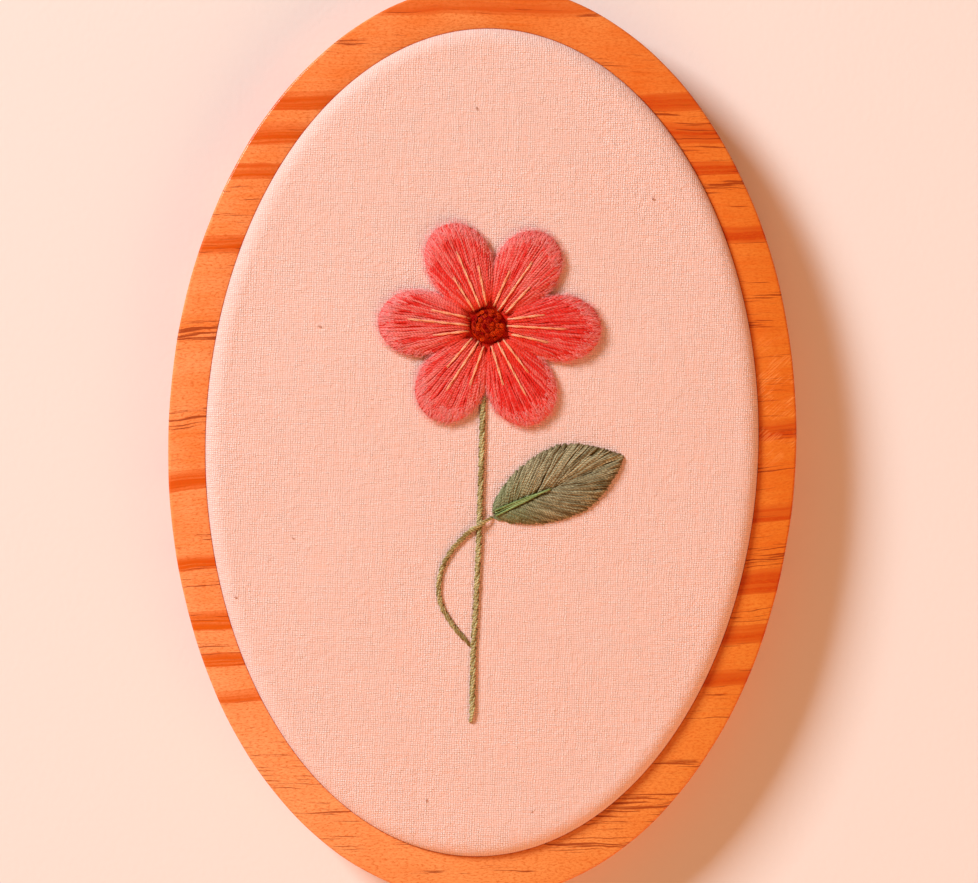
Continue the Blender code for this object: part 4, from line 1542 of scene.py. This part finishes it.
def leaf_height(flat):
    """Height above the cloth: top sqrt(1 - s^4), less a groove along the middle line."""
    share = np.clip(flat[..., 0] / LEAF_LENGTH, 0.004, 0.996)
    half = np.where(flat[..., 1] < 0, LEAF_HALF_WIDTHS[-1], LEAF_HALF_WIDTHS[1]) * leaf_edge(share)
    side = np.clip(np.abs(flat[..., 1]) / np.maximum(half, 0.05), 0, 1)
    ends = np.clip(np.abs(share - 0.5) * 2, 0, 1)
    return LEAF_TOP * np.sqrt((1 - side**4) * (1 - ends**8)) - LEAF_GROOVE * np.exp(-((side / 0.2) ** 2))


def leaf_padding_height(flat):
    """The padding lies a little under the threads, and never under the cloth."""
    return np.clip(leaf_height(flat) - LEAF_PADDING_DROP, 0.03, None)


def add_leaf_padding():
    """A low pad under the leaf's threads, in a darker colour that is painted shade between them."""
    share = np.linspace(0.01, 0.99, 34)
    reach = leaf_edge(share) * LEAF_PADDING_SHARE
    lower, upper = (
        np.column_stack([share * LEAF_LENGTH, sign * half_width * reach])
        for sign, half_width in LEAF_HALF_WIDTHS.items()
    )
    outline = np.vstack([lower, upper[::-1]])
    middle = np.array([0.55 * LEAF_LENGTH, 0.0])
    pad = add_pad("leaf_padding", outline, middle, leaf_padding_height, LEAF_DIRECTION, LEAF_BASE,
                  THREADS["leaf_padding_shade_cotton"])


add_leaf_padding()

# %% [markdown]
# ## The leaf's threads and midrib
# Both sides are made by one function, mirrored by its sign. A full layer of threads goes
# down first, and long and short ones lie over it at slightly different slants, so they
# cross and leave only short dark gaps. Over the first part of the middle line lie five
# bright green stitches that close to a point.

# %% Leaf threads
# threads a side, how high the layer lies in mm, and the share of the way where its
# threads start and end: a full layer, then long and short ones over it
LEAF_LAYERS = (
    (88, 0.0, 0.0, 1.0),
    (60, 0.07, 0.0, 0.72),
    (66, 0.1, 0.4, 1.0),
    (40, 0.15, 0.15, 0.8),
)
LEAF_THREAD_RADIUS = 0.155
LEAF_DIVE = (0.3, 0.05, 0.3, 0.04)
LEAF_TAPER = (0.3, 0.05, 0.3, 0.04)
# a thread that ends at share e of the length starts at share a e^b of it
LEAF_SLANT = (0.58, 1.4)
# the lower side turns from the light, so its threads' tones are this much of the upper side's
LEAF_LOWER_TONE = 0.72
MIDRIB_RADIUS = 0.22
MIDRIB_LIFT = 0.42
MIDRIB_ARCH = 0.12
MIDRIB_DIVE = (0.0, 1.0, 0.35, 0.06)
MIDRIB_TAPER = (0.0, 1.0, 0.4, 0.1)
# start and end of each midrib strand: distance along the leaf and off its middle, in mm
MIDRIB_STRANDS = (
    (0.5, 0.52, 8.9, 0.22),
    (0.4, 0.05, 9.7, 0.1),
    (0.3, -0.5, 10.6, 0.0),
    (1.0, -0.46, 7.8, -0.12),
    (8.8, 0.08, 11.8, -0.05),
)


def leaf_side(sign, count, lift, begin, stop, random):
    """Paths of one side's threads, with the leaf lying along +X."""
    ends = np.linspace(0.03, 1.0, count) + random.normal(0, 0.012, count)
    ends = np.clip(ends, 0.02, 0.995)
    starts = LEAF_SLANT[0] * ends ** LEAF_SLANT[1] + random.normal(0, 0.02, count)
    tooth = random.normal(0.08, 0.14, count)
    edge = LEAF_HALF_WIDTHS[sign] * leaf_edge(ends)
    first = np.column_stack([starts * LEAF_LENGTH, random.normal(0.12, 0.1, count)])
    last = np.column_stack([ends * LEAF_LENGTH, edge + tooth * np.clip(edge, 0, 1)])
    stray = random.normal(0, 0.08, (2, count, 1)) * [[[begin > 0]], [[stop < 1]]]
    way = begin + stray[0] + (stop + stray[1] - begin - stray[0]) * ALONG
    flat = first[:, None] + (last - first)[:, None] * np.clip(way, 0, 1)[..., None]
    flat[..., 1] += random.normal(0.2, 0.16, (count, 1)) * np.sin(math.pi * way)
    phase = random.uniform(0, 2 * math.pi, (count, 1))
    flat[..., 1] += 0.07 * np.sin(3 * math.pi * EVEN + phase)
    flat[..., 1] *= sign
    height = np.clip(leaf_height(flat), 0, None) + lift + random.normal(0, 0.05, (count, 1))
    return lifted(flat, height - near_ends(*LEAF_DIVE))


def add_leaf_threads(random):
    """Both sides of the leaf, layer over layer. The lower side's threads come first."""
    paths = np.concatenate([leaf_side(sign, *layer, random) for sign in (-1, 1) for layer in LEAF_LAYERS])
    laid = lay(paths, LEAF_DIRECTION, LEAF_BASE)
    taper = 1 - near_ends(*LEAF_TAPER)
    radii = LEAF_THREAD_RADIUS * taper * random.uniform(0.82, 1.2, (len(laid), 1))
    tones = random.uniform(0, 1, len(laid))
    tones[: len(tones) // 2] *= LEAF_LOWER_TONE
    leaf = add_threads("leaf_stitches", laid, radii, tones, THREADS["grey_green_cotton"])
    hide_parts("leaf")


def add_midrib(random):
    """The bright stitches over the leaf's middle line."""
    rows = np.array(MIDRIB_STRANDS)
    flat = rows[:, None, :2] + (rows[:, None, 2:] - rows[:, None, :2]) * ALONG[:, None]
    lift = leaf_height(flat) + MIDRIB_LIFT + MIDRIB_ARCH * np.sin(math.pi * EVEN)
    laid = lay(lifted(flat, lift - near_ends(*MIDRIB_DIVE)), LEAF_DIRECTION, LEAF_BASE)
    radii = np.broadcast_to(MIDRIB_RADIUS * (1 - near_ends(*MIDRIB_TAPER)), laid.shape[:2])
    tones = random.uniform(0.2, 0.9, len(laid))
    midrib = add_threads("midrib_stitches", laid, radii, tones, THREADS["bright_green_cotton"])
    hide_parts("leaf_midrib")


leaf_random = np.random.default_rng(14)
add_leaf_threads(leaf_random)
add_midrib(leaf_random)

# %% [markdown]
# ## The end
# Last, the scene is brought up to date. The dressed model may stand only a little proud of
# the imported one.

# %% Finish
bpy.context.view_layer.update()
